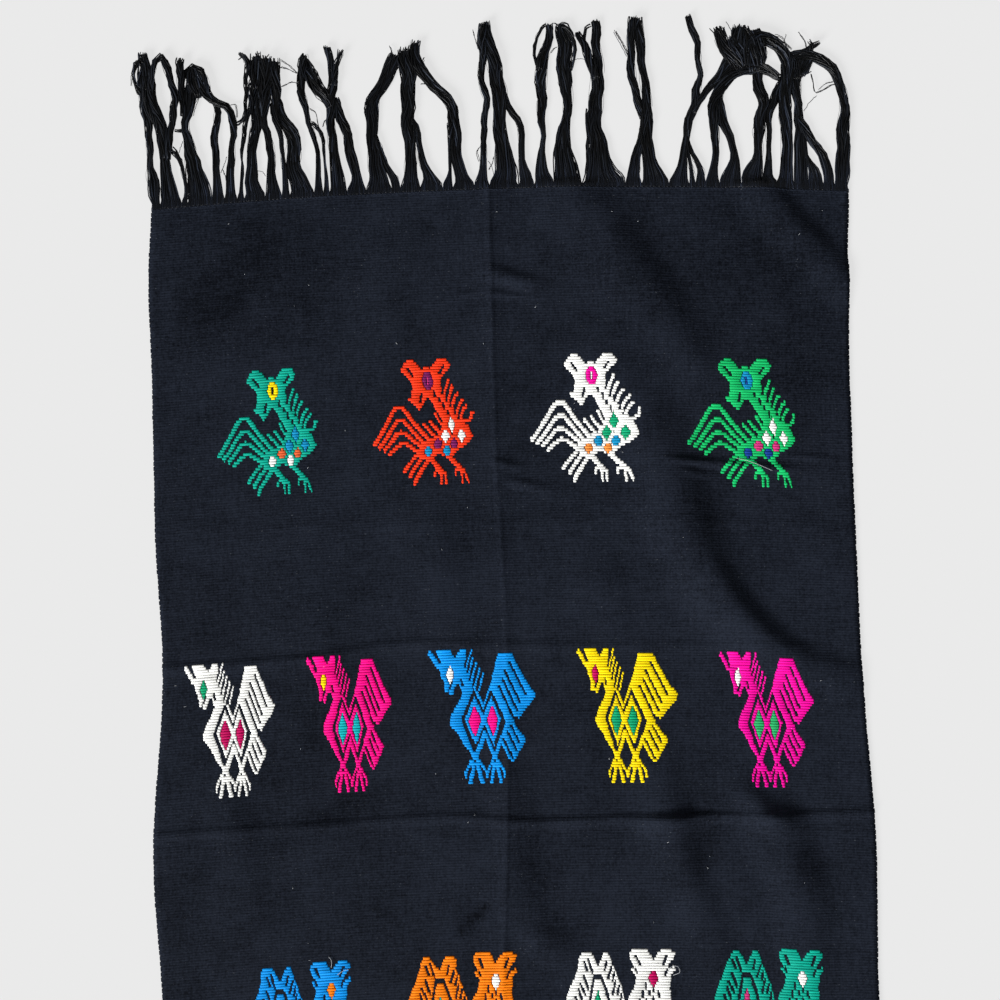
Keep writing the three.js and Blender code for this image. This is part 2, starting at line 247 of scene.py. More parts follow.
def smooth_line(points, count):
    """Evenly spaced points on a smooth curve through the given ones, whose first two columns are places."""
    knots = np.array(points, float)
    chord = np.hypot(*np.diff(knots[:, :2], axis=0).T)
    at = np.concatenate([[0], np.cumsum(chord)])
    slope = np.gradient(knots, at, axis=0) if len(knots) > 2 else np.diff(knots, axis=0) / at[-1]
    slope = np.broadcast_to(slope, knots.shape)
    t = np.linspace(0, at[-1], count)
    i = np.clip(np.searchsorted(at, t, side="right") - 1, 0, len(at) - 2)
    step = (at[i + 1] - at[i])[:, None]
    s = (t - at[i])[:, None] / step
    return (
        (2 * s**3 - 3 * s**2 + 1) * knots[i] + (s**3 - 2 * s**2 + s) * step * slope[i]
        + (3 * s**2 - 2 * s**3) * knots[i + 1] + (s**3 - s**2) * step * slope[i + 1]
    )


def fold_height(x, from_head, fold):
    """One fold: as high as its crest at the nearest place of it, and dying out to each side."""
    crest = smooth_line(fold["crest"], 8 * len(fold["crest"]))
    nearest = np.full(x.shape, np.inf)
    height = np.zeros(x.shape)
    for (ax, ad, rise_a), (bx, bd, rise_b) in zip(crest, crest[1:]):
        dx, dd = bx - ax, bd - ad
        length = math.hypot(dx, dd)
        t = np.clip(((x - ax) * dx + (from_head - ad) * dd) / length**2, 0, 1)
        px, pd = x - ax - t * dx, from_head - ad - t * dd
        away = np.hypot(px, pd)
        side = (px * dd - pd * dx) / (length * np.maximum(away, 1e-9))
        half = fold["left"] + (fold["right"] - fold["left"]) * (1 + side) / 2
        here = (rise_a + (rise_b - rise_a) * t) * np.cos(np.minimum(away / half, 1) * np.pi / 2) ** 2
        closer = away < nearest
        height = np.where(closer, here, height)
        nearest = np.where(closer, away, nearest)
    return height


def pucker(x, from_head):
    """Small soft unevenness of cloth that has been folded and washed."""
    rng = np.random.default_rng(5)
    total = np.zeros(np.shape(x))
    for _ in range(PUCKER_WAVES):
        turn = rng.uniform(0, 2 * np.pi)
        wave = rng.uniform(16, 46)
        phase = rng.uniform(0, 2 * np.pi, 2)
        a = (x * np.cos(turn) + from_head * np.sin(turn)) / wave * 2 * np.pi + phase[0]
        b = (from_head * np.cos(turn) - x * np.sin(turn)) / (wave * 2.3) * 2 * np.pi + phase[1]
        total += np.sin(a) * np.sin(b)
    return PUCKER * (1 + np.tanh(total / 2))


def rise(x, from_head):
    """How far the cloth's underside stands off the surface."""
    x, from_head = np.broadcast_arrays(np.asarray(x, float), np.asarray(from_head, float))
    return np.maximum(pucker(x, from_head) + sum(fold_height(x, from_head, fold) for fold in FOLDS), 0)


def bow(x):
    """The picks curve: Y drops towards the selvedges."""
    return -WEFT_BOW * (np.asarray(x) / HALF_WIDTH) ** 2


def on_cloth(x, from_head, up):
    """Points at a height over the cloth's upper face."""
    x, from_head, up = np.broadcast_arrays(x, from_head, up)
    return np.stack([x, HEAD_LINE - from_head + bow(x), THICKNESS + rise(x, from_head) + up], axis=-1)


# ---------------------------------------------------------------- meshes

def new_piece(name, points, faces, finish):
    """A piece from points in millimetres and arrays of faces, one array for each number of corners."""
    corners = np.concatenate([np.asarray(part).ravel() for part in faces])
    sizes = np.concatenate([np.full(len(part), np.shape(part)[1]) for part in faces])
    mesh = bpy.data.meshes.new(name)
    mesh.vertices.add(len(points))
    mesh.vertices.foreach_set("co", (np.asarray(points) * MM).astype(np.float32).ravel())
    mesh.loops.add(len(corners))
    mesh.loops.foreach_set("vertex_index", corners.astype(np.int32))
    mesh.polygons.add(len(sizes))
    mesh.polygons.foreach_set("loop_start", (np.cumsum(sizes) - sizes).astype(np.int32))
    mesh.polygons.foreach_set("use_smooth", np.ones(len(sizes), bool))
    mesh.update(calc_edges=True)
    mesh.validate()
    mesh.materials.append(finish)
    piece = bpy.data.objects.new(name, mesh)
    bpy.context.scene.collection.objects.link(piece)
    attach(piece, "root")
    return piece


def paint(piece, colours):
    """Gives every point of a piece its own yarn colour."""
    layer = piece.data.color_attributes.new("yarn_colour", "FLOAT_COLOR", "POINT")
    values = np.concatenate([colours, np.ones((len(colours), 1))], axis=1)
    layer.data.foreach_set("color", values.astype(np.float32).ravel())


def tubes(paths, radii, sides, flatness=1.0):
    """Closed yarns along paths of (yarn, station, xyz), their height over their width being the
    flatness. Returns their points and faces."""
    yarns, stations, _ = paths.shape
    heading = np.gradient(paths, axis=1)
    heading /= np.linalg.norm(heading, axis=2, keepdims=True)
    across = np.cross(heading, (0, 0, 1.0))
    across /= np.maximum(np.linalg.norm(across, axis=2, keepdims=True), 1e-6)
    over = np.cross(across, heading)
    turn = np.arange(sides) * 2 * np.pi / sides + np.pi / 4
    over = over * np.broadcast_to(flatness, radii.shape)[..., None]
    ring = np.cos(turn)[:, None] * across[:, :, None, :] + np.sin(turn)[:, None] * over[:, :, None, :]
    points = paths[:, :, None, :] + ring * radii[:, :, None, None]
    index = np.arange(yarns * stations * sides).reshape(yarns, stations, sides)
    after = np.roll(index, -1, axis=2)
    walls = np.stack([index[:, :-1], after[:, :-1], after[:, 1:], index[:, 1:]], axis=-1)
    caps = np.concatenate([index[:, 0, ::-1], index[:, -1]])
    return points.reshape(-1, 3), [walls.reshape(-1, 4), caps]


def joined(parts):
    """Several lots of points and faces as one."""
    points, walls, caps, base = [], [], [], 0
    for lot, (wall, cap) in parts:
        points.append(lot)
        walls.append(wall + base)
        caps.append(cap + base)
        base += len(lot)
    return np.concatenate(points), [np.concatenate(walls), np.concatenate(caps)]


# ---------------------------------------------------------------- shader building

class Socket:
    """An output socket of a shader node. Arithmetic on it adds Math nodes."""

    def __init__(self, socket):
        self.socket = socket

    def out(self, name):
        return Socket(self.socket.node.outputs[name])

    def math(self, operation, *values):
        node = self.socket.id_data.nodes.new("ShaderNodeMath")
        node.operation = operation
        for entry, value in zip(node.inputs, values):
            feed(entry, value)
        return Socket(node.outputs[0])

    def __add__(self, other):
        return self.math("ADD", self, other)

    def __sub__(self, other):
        return self.math("SUBTRACT", self, other)

    def __rsub__(self, other):
        return self.math("SUBTRACT", other, self)

    def __mul__(self, other):
        return self.math("MULTIPLY", self, other)

    def sine(self):
        return self.math("SINE", self)

    __radd__ = __add__
    __rmul__ = __mul__


def feed(entry, value):
    """Links a socket to an input, or sets the input's own value."""
    if isinstance(value, Socket):
        entry.id_data.links.new(value.socket, entry)
    else:
        entry.default_value = value


class Finish:
    """A material with one Principled shader."""

    def __init__(self, name, **constants):
        self.material = bpy.data.materials.new(name)
        self.material.use_nodes = True
        self.tree = self.material.node_tree
        self.shader = self.tree.nodes["Principled BSDF"]
        for socket, value in constants.items():
            self.shader.inputs[socket.replace("_", " ")].default_value = value

    def node(self, kind, settings=None, sockets=None):
        """Any other node: its type, its settings, and the values or links of its sockets."""
        made = self.tree.nodes.new(kind)
        for name, value in (settings or {}).items():
            if name == "stops":
                for stop, (place, shade) in zip(made.color_ramp.elements, value):
                    stop.position = place
                    stop.color = (shade, shade, shade, 1)
            else:
                setattr(made, name, value)
        for name, value in (sockets or {}).items():
            feed(next(s for s in made.inputs if s.name == name and s.enabled), value)
        return Socket(next(s for s in made.outputs if s.enabled))

    def stretch(self, vector, by):
        """The vector times another, part by part."""
        made = self.tree.nodes.new("ShaderNodeVectorMath")
        made.operation = "MULTIPLY"
        feed(made.inputs[0], vector)
        made.inputs[1].default_value = by
        return Socket(made.outputs[0])

    def noise(self, vector, scale, detail, roughness):
        sockets = {"Vector": vector, "Scale": scale, "Detail": detail, "Roughness": roughness}
        return self.node("ShaderNodeTexNoise", {}, sockets)

    def ramp(self, value, low, high):
        """0 below low, 1 above high, and straight between."""
        return self.node("ShaderNodeValToRGB", {"stops": ((low, 0.0), (high, 1.0))}, {"Fac": value})

    def mix(self, share, first, second, blend="MIX"):
        settings = {"data_type": "RGBA", "blend_type": blend}
        return self.node("ShaderNodeMix", settings, {"Factor": share, "A": first, "B": second})

    def bump(self, height, distance, strength):
        sockets = {"Height": height, "Distance": distance, "Strength": strength}
        return self.node("ShaderNodeBump", {}, sockets)

    def finish(self, **sockets):
        for socket, value in sockets.items():
            feed(self.shader.inputs[socket.replace("_", " ")], value)
        return self.material


def rgba(colour):
    return (*linear(colour), 1.0)


def black_weave():
    """Washed black cotton: fine picks, slubs, cloudy dye and pale flecks, with the painted shade and light
    of its folds and creases taken from a point attribute.
    """
    finish = Finish("black_cotton_weave", Roughness=0.85, Specular_IOR_Level=0.06)
    here = finish.node("ShaderNodeTexCoord").out("Object")
    parts = finish.node("ShaderNodeSeparateXYZ", {}, {"Vector": here})
    x, y = parts.out("X"), parts.out("Y")
    lift = x * x * (WEFT_BOW / HALF_WIDTH**2 / MM)
    pick_phase = (y + lift) * (2 * math.pi / (PICK * MM))
    rib = pick_phase.sine() * 0.5 + 0.5
    slub = finish.noise(finish.stretch(here, (1, 16, 1)), 70, 3, 0.6)
    warp = finish.noise(finish.stretch(here, (14, 1, 1)), 60, 2, 0.6)
    grain = finish.noise(here, 900, 2, 0.7)
    cloud = finish.noise(here, 34, 4, 0.62)
    patch = finish.noise(here, 9, 2, 0.5)
    flecks = finish.noise(finish.stretch(here, (1, 2.2, 1)), 620, 1, 0.5)
    # painted shade and light: darker where folds and creases shade the cloth, paler (below 0) where they
    # catch the light
    deeper = finish.node("ShaderNodeAttribute", {"attribute_name": "painted_shade_and_light"}).out("Fac")
    shade = (
        0.64
        - deeper * 1.1
        + (cloud - 0.5) * 0.95
        + (patch - 0.5) * 0.5
        + (grain - 0.5) * 1.9
        + (slub - 0.5) * 1.0
        + (warp - 0.5) * 0.6
    )
    ground = finish.mix(finish.ramp(shade, 0.0, 1.25), rgba(GROUND_DEEP), rgba(GROUND_PALE))
    fleck = finish.ramp(flecks, 0.735, 0.80)
    colour = finish.mix(fleck * 0.4, ground, rgba(FLECK))
    height = rib * 0.35 + slub * 0.5 + grain * 0.6 + warp * 0.25
    return finish.finish(Base_Color=colour, Normal=finish.bump(height, 0.0003, 0.7))


def yarn_finish(name, roughness, specular, strand_scale, variation):
    """Cotton yarn whose colour is painted on the piece, with fine fibres in it."""
    finish = Finish(name, Roughness=roughness, Specular_IOR_Level=specular)
    here = finish.node("ShaderNodeTexCoord").out("Object")
    painted = finish.node("ShaderNodeVertexColor", {"layer_name": "yarn_colour"})
    fibre = finish.noise(finish.stretch(here, strand_scale), 400, 2, 0.6)
    patch = finish.noise(here, 120, 2, 0.5)
    shade = 1 + (fibre - 0.5) * variation + (patch - 0.5) * variation
    white = finish.node("ShaderNodeCombineColor", {}, {"Red": shade, "Green": shade, "Blue": shade})
    colour = finish.mix(1.0, painted, white, "MULTIPLY")
    return finish.finish(Base_Color=colour, Normal=finish.bump(fibre, 0.0002, 0.5))


weave = black_weave()
floss = yarn_finish("brocade_floss", 0.65, 0.14, (0.35, 4, 1), 0.3)
warp_yarn = yarn_finish("fringe_yarn", 0.42, 0.3, (3, 0.3, 1), 0.5)


# ---------------------------------------------------------------- the cloth

def steps(cells, end):
    """Places from the first cell up to an end; each cell is (start, size), the size from there on."""
    stops = [start for start, _ in cells] + [end]
    runs = [np.linspace(a, b, int(round((b - a) / size)), endpoint=False)
            for (a, size), b in zip(cells, stops[1:])]
    return np.concatenate([*runs, [end]])


def painted_shade_and_light(x, from_head):
    """How much darker than the ground the cloth is painted, as painted shade of its folds and creases;
    below 0 it is paler, as painted light.
    """
    total = np.zeros(np.shape(x))
    for patch in PAINTED_SHADE_AND_LIGHT:
        across = (x - patch["across"]) / patch["reach_across"]
        down = (from_head - patch["from_head"]) / patch["reach_along"]
        total += patch["deeper"] * np.exp(-across**2 - down**2)
    return total


def selvedge(side, from_head):
    """X of the left (-1) or right (1) edge."""
    return side * along(SELVEDGES, "left" if side < 0 else "right", from_head)


def make_cloth():
    share = steps(CELLS_ACROSS, HALF_WIDTH) / HALF_WIDTH / 2 + 0.5
    from_head, share = np.meshgrid(steps(CELLS_ALONG, LENGTH), share, indexing="ij")
    left, right = selvedge(-1, from_head), selvedge(1, from_head)
    x = left + (right - left) * share
    upper = on_cloth(x, from_head, 0)
    lower = upper - (0, 0, THICKNESS)
    lengthwise, across = x.shape
    top = np.arange(lengthwise * across).reshape(lengthwise, across)
    bottom = top + top.size

    def cells(grid):
        corners = [grid[:-1, :-1], grid[1:, :-1], grid[1:, 1:], grid[:-1, 1:]]
        return np.stack(corners, axis=-1).reshape(-1, 4)

    rim_top = np.concatenate([top[0, :-1], top[:-1, -1], top[-1, :0:-1], top[:0:-1, 0]])
    rim_bottom = rim_top + top.size
    rim = np.stack([rim_top, np.roll(rim_top, -1), np.roll(rim_bottom, -1), rim_bottom], axis=-1)
    points = np.concatenate([upper.reshape(-1, 3), lower.reshape(-1, 3)])
    faces = [np.concatenate([cells(top), cells(bottom)[:, ::-1], rim])]
    piece = new_piece("runner_cloth", points, faces, weave)
    # each point's painted shade and light, for the cloth's finish
    layer = piece.data.attributes.new("painted_shade_and_light", "FLOAT", "POINT")
    layer.data.foreach_set("value", np.tile(painted_shade_and_light(x, from_head).ravel(), 2).astype(np.float32))
    return piece


def make_selvedge_turns():
    """The weft turns back at each selvedge after every second pick."""
    rng = np.random.default_rng(11)
    turns = np.arange(PICK, LENGTH, 2 * PICK)
    path_along, path_out = np.array([(-0.9, -1.4), (-0.75, 0.1), (0.75, 0.1), (0.9, -1.4)]).T
    lots = []
    for side in (-1, 1):
        from_head = turns[:, None] + path_along + rng.normal(0, 0.12, (len(turns), 1))
        out = path_out + rng.uniform(-0.15, 0.2, (len(turns), 1)) * (path_out > 0)
        x = selvedge(side, from_head) + side * out
        paths = on_cloth(x, from_head, -THICKNESS / 2)
        lots.append(tubes(paths, np.full(paths.shape[:2], WEFT_RADIUS), 5))
    points, faces = joined(lots)
    return new_piece("selvedge_turns", points, faces, weave)


def make_heading_twists():
    """Two yarns twisted round each other along each end of the cloth."""
    lots = []
    for from_head in (ROOT_INSIDE, LENGTH - ROOT_INSIDE):
        x = np.linspace(selvedge(-1, from_head) + 0.5, selvedge(1, from_head) - 0.5, 420)
        for phase in (0, math.pi):
            turn = x / TWIST_PITCH * 2 * np.pi + phase
            path = on_cloth(x, from_head + 0.35 * np.cos(turn), 0.1 + 0.3 * np.sin(turn))
            lots.append(tubes(path[None], np.full((1, len(x)), TWIST_RADIUS), 5))
    points, faces = joined(lots)
    return new_piece("heading_twists", points, faces, weave)


# ---------------------------------------------------------------- brocade charts
# A chart is a list of layers of (yarn, shape), later layers on top. Its points are (across, down)
# in millimetres from its upper left corner; "bare" leaves the black ground showing.

def stroke(width, *points):
    """A band of one width along points."""
    def covers(x, y):
        inside = np.zeros(x.shape, bool)
        for (ax, ay), (bx, by) in zip(points, points[1:]):
            dx, dy = bx - ax, by - ay
            t = np.clip(((x - ax) * dx + (y - ay) * dy) / (dx * dx + dy * dy), 0, 1)
            inside |= np.hypot(x - ax - t * dx, y - ay - t * dy) < width / 2
        return inside
    return covers


def area(*points):
    """All that lies within an outline."""
    def covers(x, y):
        inside = np.zeros(x.shape, bool)
        for (ax, ay), (bx, by) in zip(points, points[1:] + points[:1]):
            if ay != by:
                inside ^= ((ay > y) != (by > y)) & (x < ax + (y - ay) / (by - ay) * (bx - ax))
        return inside
    return covers


def lozenge(x0, y0, width, height, roundness):
    """A lozenge round its middle: straight-sided at a roundness of 1, an ellipse at 2."""
    def covers(x, y):
        return (abs(x - x0) / width * 2) ** roundness + (abs(y - y0) / height * 2) ** roundness < 1
    return covers


def rooster():
    """A crested rooster looking left: striped tail, flame mane, seven lozenges on its body."""
    layers = [
        ("body", stroke(2.3, (1, 46.4), (5, 41), (9.6, 34), (13, 28.4), (15.4, 26.3), (18.2, 26.3),
            (20.6, 29.6), (24, 35), (28, 40.2), (32, 45.4))),
        ("body", stroke(2.2, (3.8, 48.2), (7.6, 43.6), (11.6, 38), (14.6, 34.2), (16.6, 33.4), (18.6, 34),
            (22, 38.4), (26, 43.4), (29.6, 47.6))),
        ("body", stroke(2.1, (6.6, 49.8), (10.6, 45.4), (14, 41.2), (16.6, 40.2), (19, 41.2), (23, 45),
            (27.4, 48.6))),
        ("body", stroke(2.1, (9.4, 52), (13, 48.8), (16.6, 46.2), (19, 46.8), (22.6, 49.4), (25.4, 51.4))),
        ("body", area((24.4, 50.8), (29.6, 46.4), (33.4, 44), (36.4, 43), (38.4, 40.6), (40.2, 36.6),
            (40, 34), (38.6, 31), (37, 28), (35.4, 24.6), (33.8, 22), (32.6, 21.8), (30.6, 24.6),
            (29.2, 27), (27.9, 28.8), (26.6, 27), (24.8, 24.6), (22.2, 22.8), (22.2, 21.4), (24, 21.6),
            (24, 20), (24.8, 17), (25, 14), (24, 11.4), (22.2, 9.4), (19.6, 6.4), (19.6, 5), (21.4, 2),
            (23.4, 0.5), (27, 0.5), (29, 2.5), (30.2, 4.8), (31.6, 5.8), (32.6, 4.4), (34.8, 4.4),
            (36, 5.4), (37.8, 3.2), (40.2, 0.5), (42, -0.4), (45, -0.4), (46.8, 1.6), (48.2, 3.8),
            (47.2, 5.8), (44.8, 7.6), (42.6, 9.8), (41.4, 12), (41.4, 16.6), (44, 21.4), (46.6, 26.2),
            (50.6, 31), (54.2, 35), (56.2, 37.6), (59, 43.6), (57, 46.2), (54, 48.4), (48.8, 50.8),
            (45.8, 53.8), (44.4, 55.6), (39, 53.8), (37.4, 52.6), (35, 54.6), (31.4, 56.6), (27, 54.6),
            (25.6, 52.6))),
        ("bare", stroke(1.4, (23.4, 5.2), (26, 8.8))),
        ("bare", stroke(1.4, (43.8, 4.2), (41, 8.2))),
        ("bare", stroke(1.3, (29.9, 19.4), (28.8, 23.6))),
        ("bare", stroke(1.2, (37.3, 18.4), (37.4, 20.8))),
        ("bare", stroke(1.2, (39.8, 21.8), (39.9, 24.2))),
        ("bare", stroke(1.2, (41.7, 25.2), (41.8, 28))),
        ("bare", stroke(1.2, (44, 28.6), (44.1, 31))),
    ]
    flames = (
        ((45.9, 12.2), (44.8, 14.6), (43, 18.6)), ((48.2, 15.6), (46.8, 18.4), (45.4, 22)),
        ((51.2, 19.8), (49.4, 21.6), (47.4, 25.6)), ((54.4, 23.6), (52.2, 25.4), (50, 29.4)),
        ((56.4, 27), (54.2, 28.8), (52, 32.6)), ((59.4, 30.6), (58.8, 33.8), (56.6, 35.4), (54, 35.6)),
    )
    for flame in flames:
        layers.append(("bare", stroke(1.4, *((x - 1.6, y + 1) for x, y in flame[:3]))))
        layers.append(("body", stroke(1.8, *flame)))
    layers += [
        ("body", stroke(1.8, (29.8, 36.4), (32.4, 39.6), (36, 44))),
        ("body", stroke(1.8, (33.3, 34.6), (35.6, 37.8), (38.4, 41.4))),
        ("body", stroke(1.6, (36.8, 31), (38.2, 34), (39.8, 37))),
        ("bare", stroke(1.1, (38.5, 32), (40, 35.4))),
        ("body", stroke(2.0, (25.6, 52.4), (22.6, 55.6), (18.4, 60.8), (17.6, 62.2))),
        ("body", stroke(2.1, (28.4, 54.2), (24.8, 58.4), (21.2, 63.8), (20.8, 65.2))),
        ("body", stroke(2.2, (31.4, 56), (28.2, 60.4), (24.6, 65.8), (23.4, 68.6))),
        ("body", stroke(2.7, (32.4, 55), (35.6, 59.2), (38.6, 62.8))),
        ("body", stroke(2.7, (42.6, 54.6), (47.8, 59.6), (52.4, 63.4))),
        ("body", stroke(1.5, (40, 63.8), (36, 62.6), (34.6, 63), (34.6, 65.4))),
        ("body", stroke(1.4, (38.2, 63.2), (38.5, 69.2))),
        ("body", stroke(1.4, (40.6, 63.8), (41, 69.2))),
        ("body", stroke(1.5, (50, 61.8), (48, 61.6), (46.8, 62.4), (46.7, 64.8))),
        ("body", stroke(1.4, (50.4, 63.2), (51.2, 69))),
        ("body", stroke(1.5, (53, 63.8), (54.8, 68.6))),
        ("eye", lozenge(34.1, 12, 6.4, 10.8, 1.6)),
        ("slit", stroke(0.9, (33.9, 10.6), (33.9, 13.4))),
        ("first", lozenge(45.4, 37, 5, 8.8, 1.1)),
        ("bare", stroke(0.6, (45.1, 31.4), (45.1, 32.6))),
        ("bare", stroke(0.6, (45.1, 41.6), (45.1, 43))),
        ("first", lozenge(41.4, 43.2, 5.4, 7.8, 1.1)),
        ("first", lozenge(51.4, 43.2, 5.8, 8, 1.1)),
        ("second", lozenge(36.9, 47.6, 5, 5.8, 1.6)),
        ("second", lozenge(46.1, 47.8, 4.8, 5.8, 1.6)),
        ("third", lozenge(31.4, 51.4, 4.6, 5.6, 1.6)),
        ("third", lozenge(41.9, 51.4, 4.4, 5.8, 1.6)),
    ]
    return layers


def bird():
    """A winged bird looking left: tall crown, two framed lozenges, feathered wing and tail."""
    layers = [
        ("body", stroke(2.1, (2.6, 1.6), (6.6, 9.4))),
        ("body", area((4.8, -0.4), (11.4, -0.4), (12.6, 2.6), (13.6, 3.8), (14.6, 2.6), (16, -0.4),
            (18.4, -0.4), (18.4, 5), (19.4, 10), (20.8, 15), (21.8, 18.8), (22.8, 22.6), (16.4, 24.4),
            (17, 21), (15.6, 18.6), (14.2, 18.6), (13.2, 20.6), (12.4, 24.2), (11, 24.2), (10.6, 20.4),
            (10.2, 22.8), (8.7, 22.8), (8.6, 17), (7.2, 14.2), (6.8, 10.8), (5.6, 8.4))),
        ("bare", stroke(1.1, (4.6, 0), (7, 7.2))),
        ("bare", stroke(1.1, (12, 17.4), (10.9, 21))),
        ("body", stroke(1.3, (15.6, 17.6), (16.6, 21.6))),
        ("bare", stroke(0.9, (16.1, 15.4), (16.7, 19))),
        ("body", area((16.4, 23.6), (23.2, 22), (25.6, 29.2), (27, 25.4), (29.6, 19), (34.2, 2.9),
            (42, 2.9), (44, 7.4), (50.4, 19.6), (54.4, 24.6), (53.6, 27), (44.8, 37.6), (42.2, 35.8),
            (42.3, 40.2), (45, 44), (48.2, 48.2), (47.8, 50.2), (42.6, 59), (41.2, 60.8), (38.6, 58.6),
            (35, 50.6), (33.2, 55.6), (32.6, 58), (33.8, 61), (29, 61), (29.6, 57.6), (26.4, 47.4),
            (23, 57.2), (23.8, 61), (18.9, 61), (20.2, 57.8), (19.4, 55), (17, 51.4), (14, 45),
            (10.8, 40), (10.4, 37.6), (12.8, 31.4), (15.2, 27))),
        ("bare", area((21.5, 21.4), (25.6, 32.6), (30, 21.4), (37.5, 38.6), (37.2, 40.4), (31, 55.4),
            (26, 43), (21.5, 56), (20.4, 53.4), (15.9, 38.6), (15.9, 36.6))),
        ("body", stroke(1.2, (22.4, 21.8), (25.7, 31), (29, 22))),
        ("body", area((21.6, 25.2), (25.7, 35), (29.9, 25.2), (35.1, 37.4), (30.8, 51.6), (25.9, 40.4),
            (21.8, 51.4), (17.3, 37.5))),
        ("body", stroke(1.9, (21.9, 57), (26, 44.8), (30.8, 57))),
        ("first", lozenge(21.7, 38.4, 5.6, 16.4, 1.1)),
        ("first", lozenge(30.4, 38.4, 5.9, 16.4, 1.1)),
        ("bare", stroke(1.1, (40.6, 7.6), (49.2, 25.4))),
        ("bare", stroke(1.1, (37.6, 11.4), (46, 29.6))),
        ("bare", stroke(1.1, (36.6, 16.6), (43.9, 33))),
        ("bare", stroke(1.1, (34.3, 19.8), (42, 37.4))),
        ("bare", stroke(1.0, (40.4, 41), (44.8, 50.2))),
        ("bare", stroke(1.1, (38.6, 44.6), (43, 53.8))),
        ("bare", stroke(1.1, (36.2, 48.2), (40.9, 58.2))),
        ("eye", lozenge(11.2, 13.4, 3.5, 9, 1.4)),
    ]
    for i in range(5):
        x, y = 20.9 + (0, 0.7, 2, 3.7, 5.1)[i], (0.6, 4.4, 7.4, 9.6, 13)[i]
        low = (9.4, 12.4, 16.4, 20, 22)[i]
        lean = (low - y) * 0.23
        layers.append(("bare", stroke(0.8, (x - 1, y + 0.4), (x - lean - 1, low))))
        layers.append(("body", stroke(0.9, (x, y), (x - lean, low))))
    for ankle in (21.5, 31.4):
        layers += [
            ("bare", stroke(0.8, (ankle - 0.2, 59), (ankle - 0.2, 61.2))),
            ("body", stroke(1.3, (ankle - 1.8, 60), (ankle - 4.2, 65.4), (ankle - 4.3, 67.6))),
            ("body", stroke(1.9, (ankle - 0.6, 61), (ankle - 2.4, 71.2))),
            ("body", stroke(1.9, (ankle + 0.8, 61), (ankle + 3, 71.2))),
            ("body", stroke(1.3, (ankle + 1.8, 60), (ankle + 4.8, 65.4), (ankle + 5, 67.8))),
            ("bare", stroke(0.7, (ankle - 2, 63), (ankle - 3, 67))),
            ("bare", stroke(0.7, (ankle + 2.4, 63), (ankle + 3.7, 67))),
        ]
    return layers


def eared_animal(first_hump, second_hump):
    """An eared animal with its face turned out, under two feathered humps that rise between
    the given places."""
    layers = [
        ("body", area((0, 26), (2, 19.6), (4.8, 14), (6.3, 9), (first_hump[0] - 1.3, 3.4),
            (first_hump[0], 1.6), (first_hump[1], 1.6), (first_hump[1] + 1.6, 4), (17, 8.8),
            (second_hump[0] - 1.4, 5), (second_hump[0], 1.4), (second_hump[1], 1.4),
            (second_hump[1] + 1.5, 4.4), (24.8, 8.6), (26.2, 11), (27.4, 15), (29.2, 20), (31, 28),
            (32, 36), (2.4, 44), (0, 36))),
        ("body", area((32.4, 26.4), (33.6, 23), (35.6, 20), (36.8, 15), (36.2, 13.4), (34.4, 11),
            (34.6, 9.4), (36.2, 9.6), (33.6, 4.4), (33.8, 2), (35, 0.5), (43, 0.5), (44.6, 3.2),
            (45.4, 5.8), (46.6, 4.4), (48, 2), (50.4, 0), (54, -0.2), (57, 2), (56.6, 4.2), (54, 7),
            (53, 9.6), (56.6, 9), (57.6, 10), (54.6, 13), (54.8, 16), (53.8, 20), (54.4, 24), (54.8, 30),
            (53, 40), (50, 46), (8, 46), (2, 42), (4, 34), (32, 34))),
        ("bare", area((14.6, 12.4), (18.6, 12.4), (19.8, 15), (22.8, 24.4), (23.4, 34), (11.6, 34),
            (12, 26), (14, 15))),
        ("body", area((15.2, 15.2), (18.4, 15.2), (21.4, 25.4), (21.9, 34), (13, 34), (13.3, 26))),
        ("first", lozenge(16.7, 29, 3.8, 15, 1.2)),
        ("bare", area((11.8, 46), (11.8, 40), (16.6, 36.6), (21.6, 40), (21.6, 46))),
        ("eye", lozenge(45.6, 15, 4.7, 8.4, 1.5)),
        ("bare", stroke(1.3, (36.8, 3), (38.8, 7.8))),
        ("bare", stroke(1.3, (52.8, 3), (50.6, 8.2))),
        ("bare", stroke(1.1, (36.5, 9.6), (37.6, 12.8))),
        ("bare", stroke(1.2, (53, 9.8), (51.6, 13))),
    ]
    slits = (
        ((9.8, 6.2), (11.4, 11)), ((11.8, 4.4), (14, 11.6)), ((9.4, 13.4), (11.6, 20)),
        ((7.4, 17.4), (10.2, 23.4)), ((6.6, 20.4), (8.6, 27)), ((4.8, 24), (6.8, 30)),
        ((21.4, 6.2), (20.4, 11.4)), ((24, 9.4), (22, 15.4)), ((25.4, 12.4), (24.6, 16.4)),
        ((26, 16.6), (24.6, 23)), ((28, 18.4), (26.8, 24)), ((29, 23), (28.4, 30)),
        ((41.6, 17.8), (41.6, 20.4)), ((40, 21.6), (40, 24.6)), ((43.4, 21.6), (43.4, 24)),
        ((45.4, 20.6), (45.4, 22)), ((48, 22), (48.8, 25.4)), ((41.8, 25.4), (41.8, 28.4)),
        ((45.4, 25), (45.4, 28)), ((50.8, 26.6), (51, 29.6)), ((38.4, 26), (38.4, 29)),
    )
    layers += [("bare", stroke(1.1, *slit)) for slit in slits]
    for leg in (5, 16, 38.4, 48):
        layers.append(("body", stroke(4.4, (leg, 45), (leg, 61))))
        layers.append(("body", stroke(2, (leg - 1.4, 61), (leg - 2.6, 67))))
        layers.append(("body", stroke(2, (leg + 1.4, 61), (leg + 2.6, 67))))
    return layers


# how wide and tall each chart is, and the place across it that each figure's "middle" stands for
CHARTS = {
    "rooster": {"width": 60.2, "height": 70, "middle": 45.1},
    "bird": {"width": 54.8, "height": 73, "middle": 25.7},
    "eared animal": {"width": 58, "height": 69, "middle": 33},
}

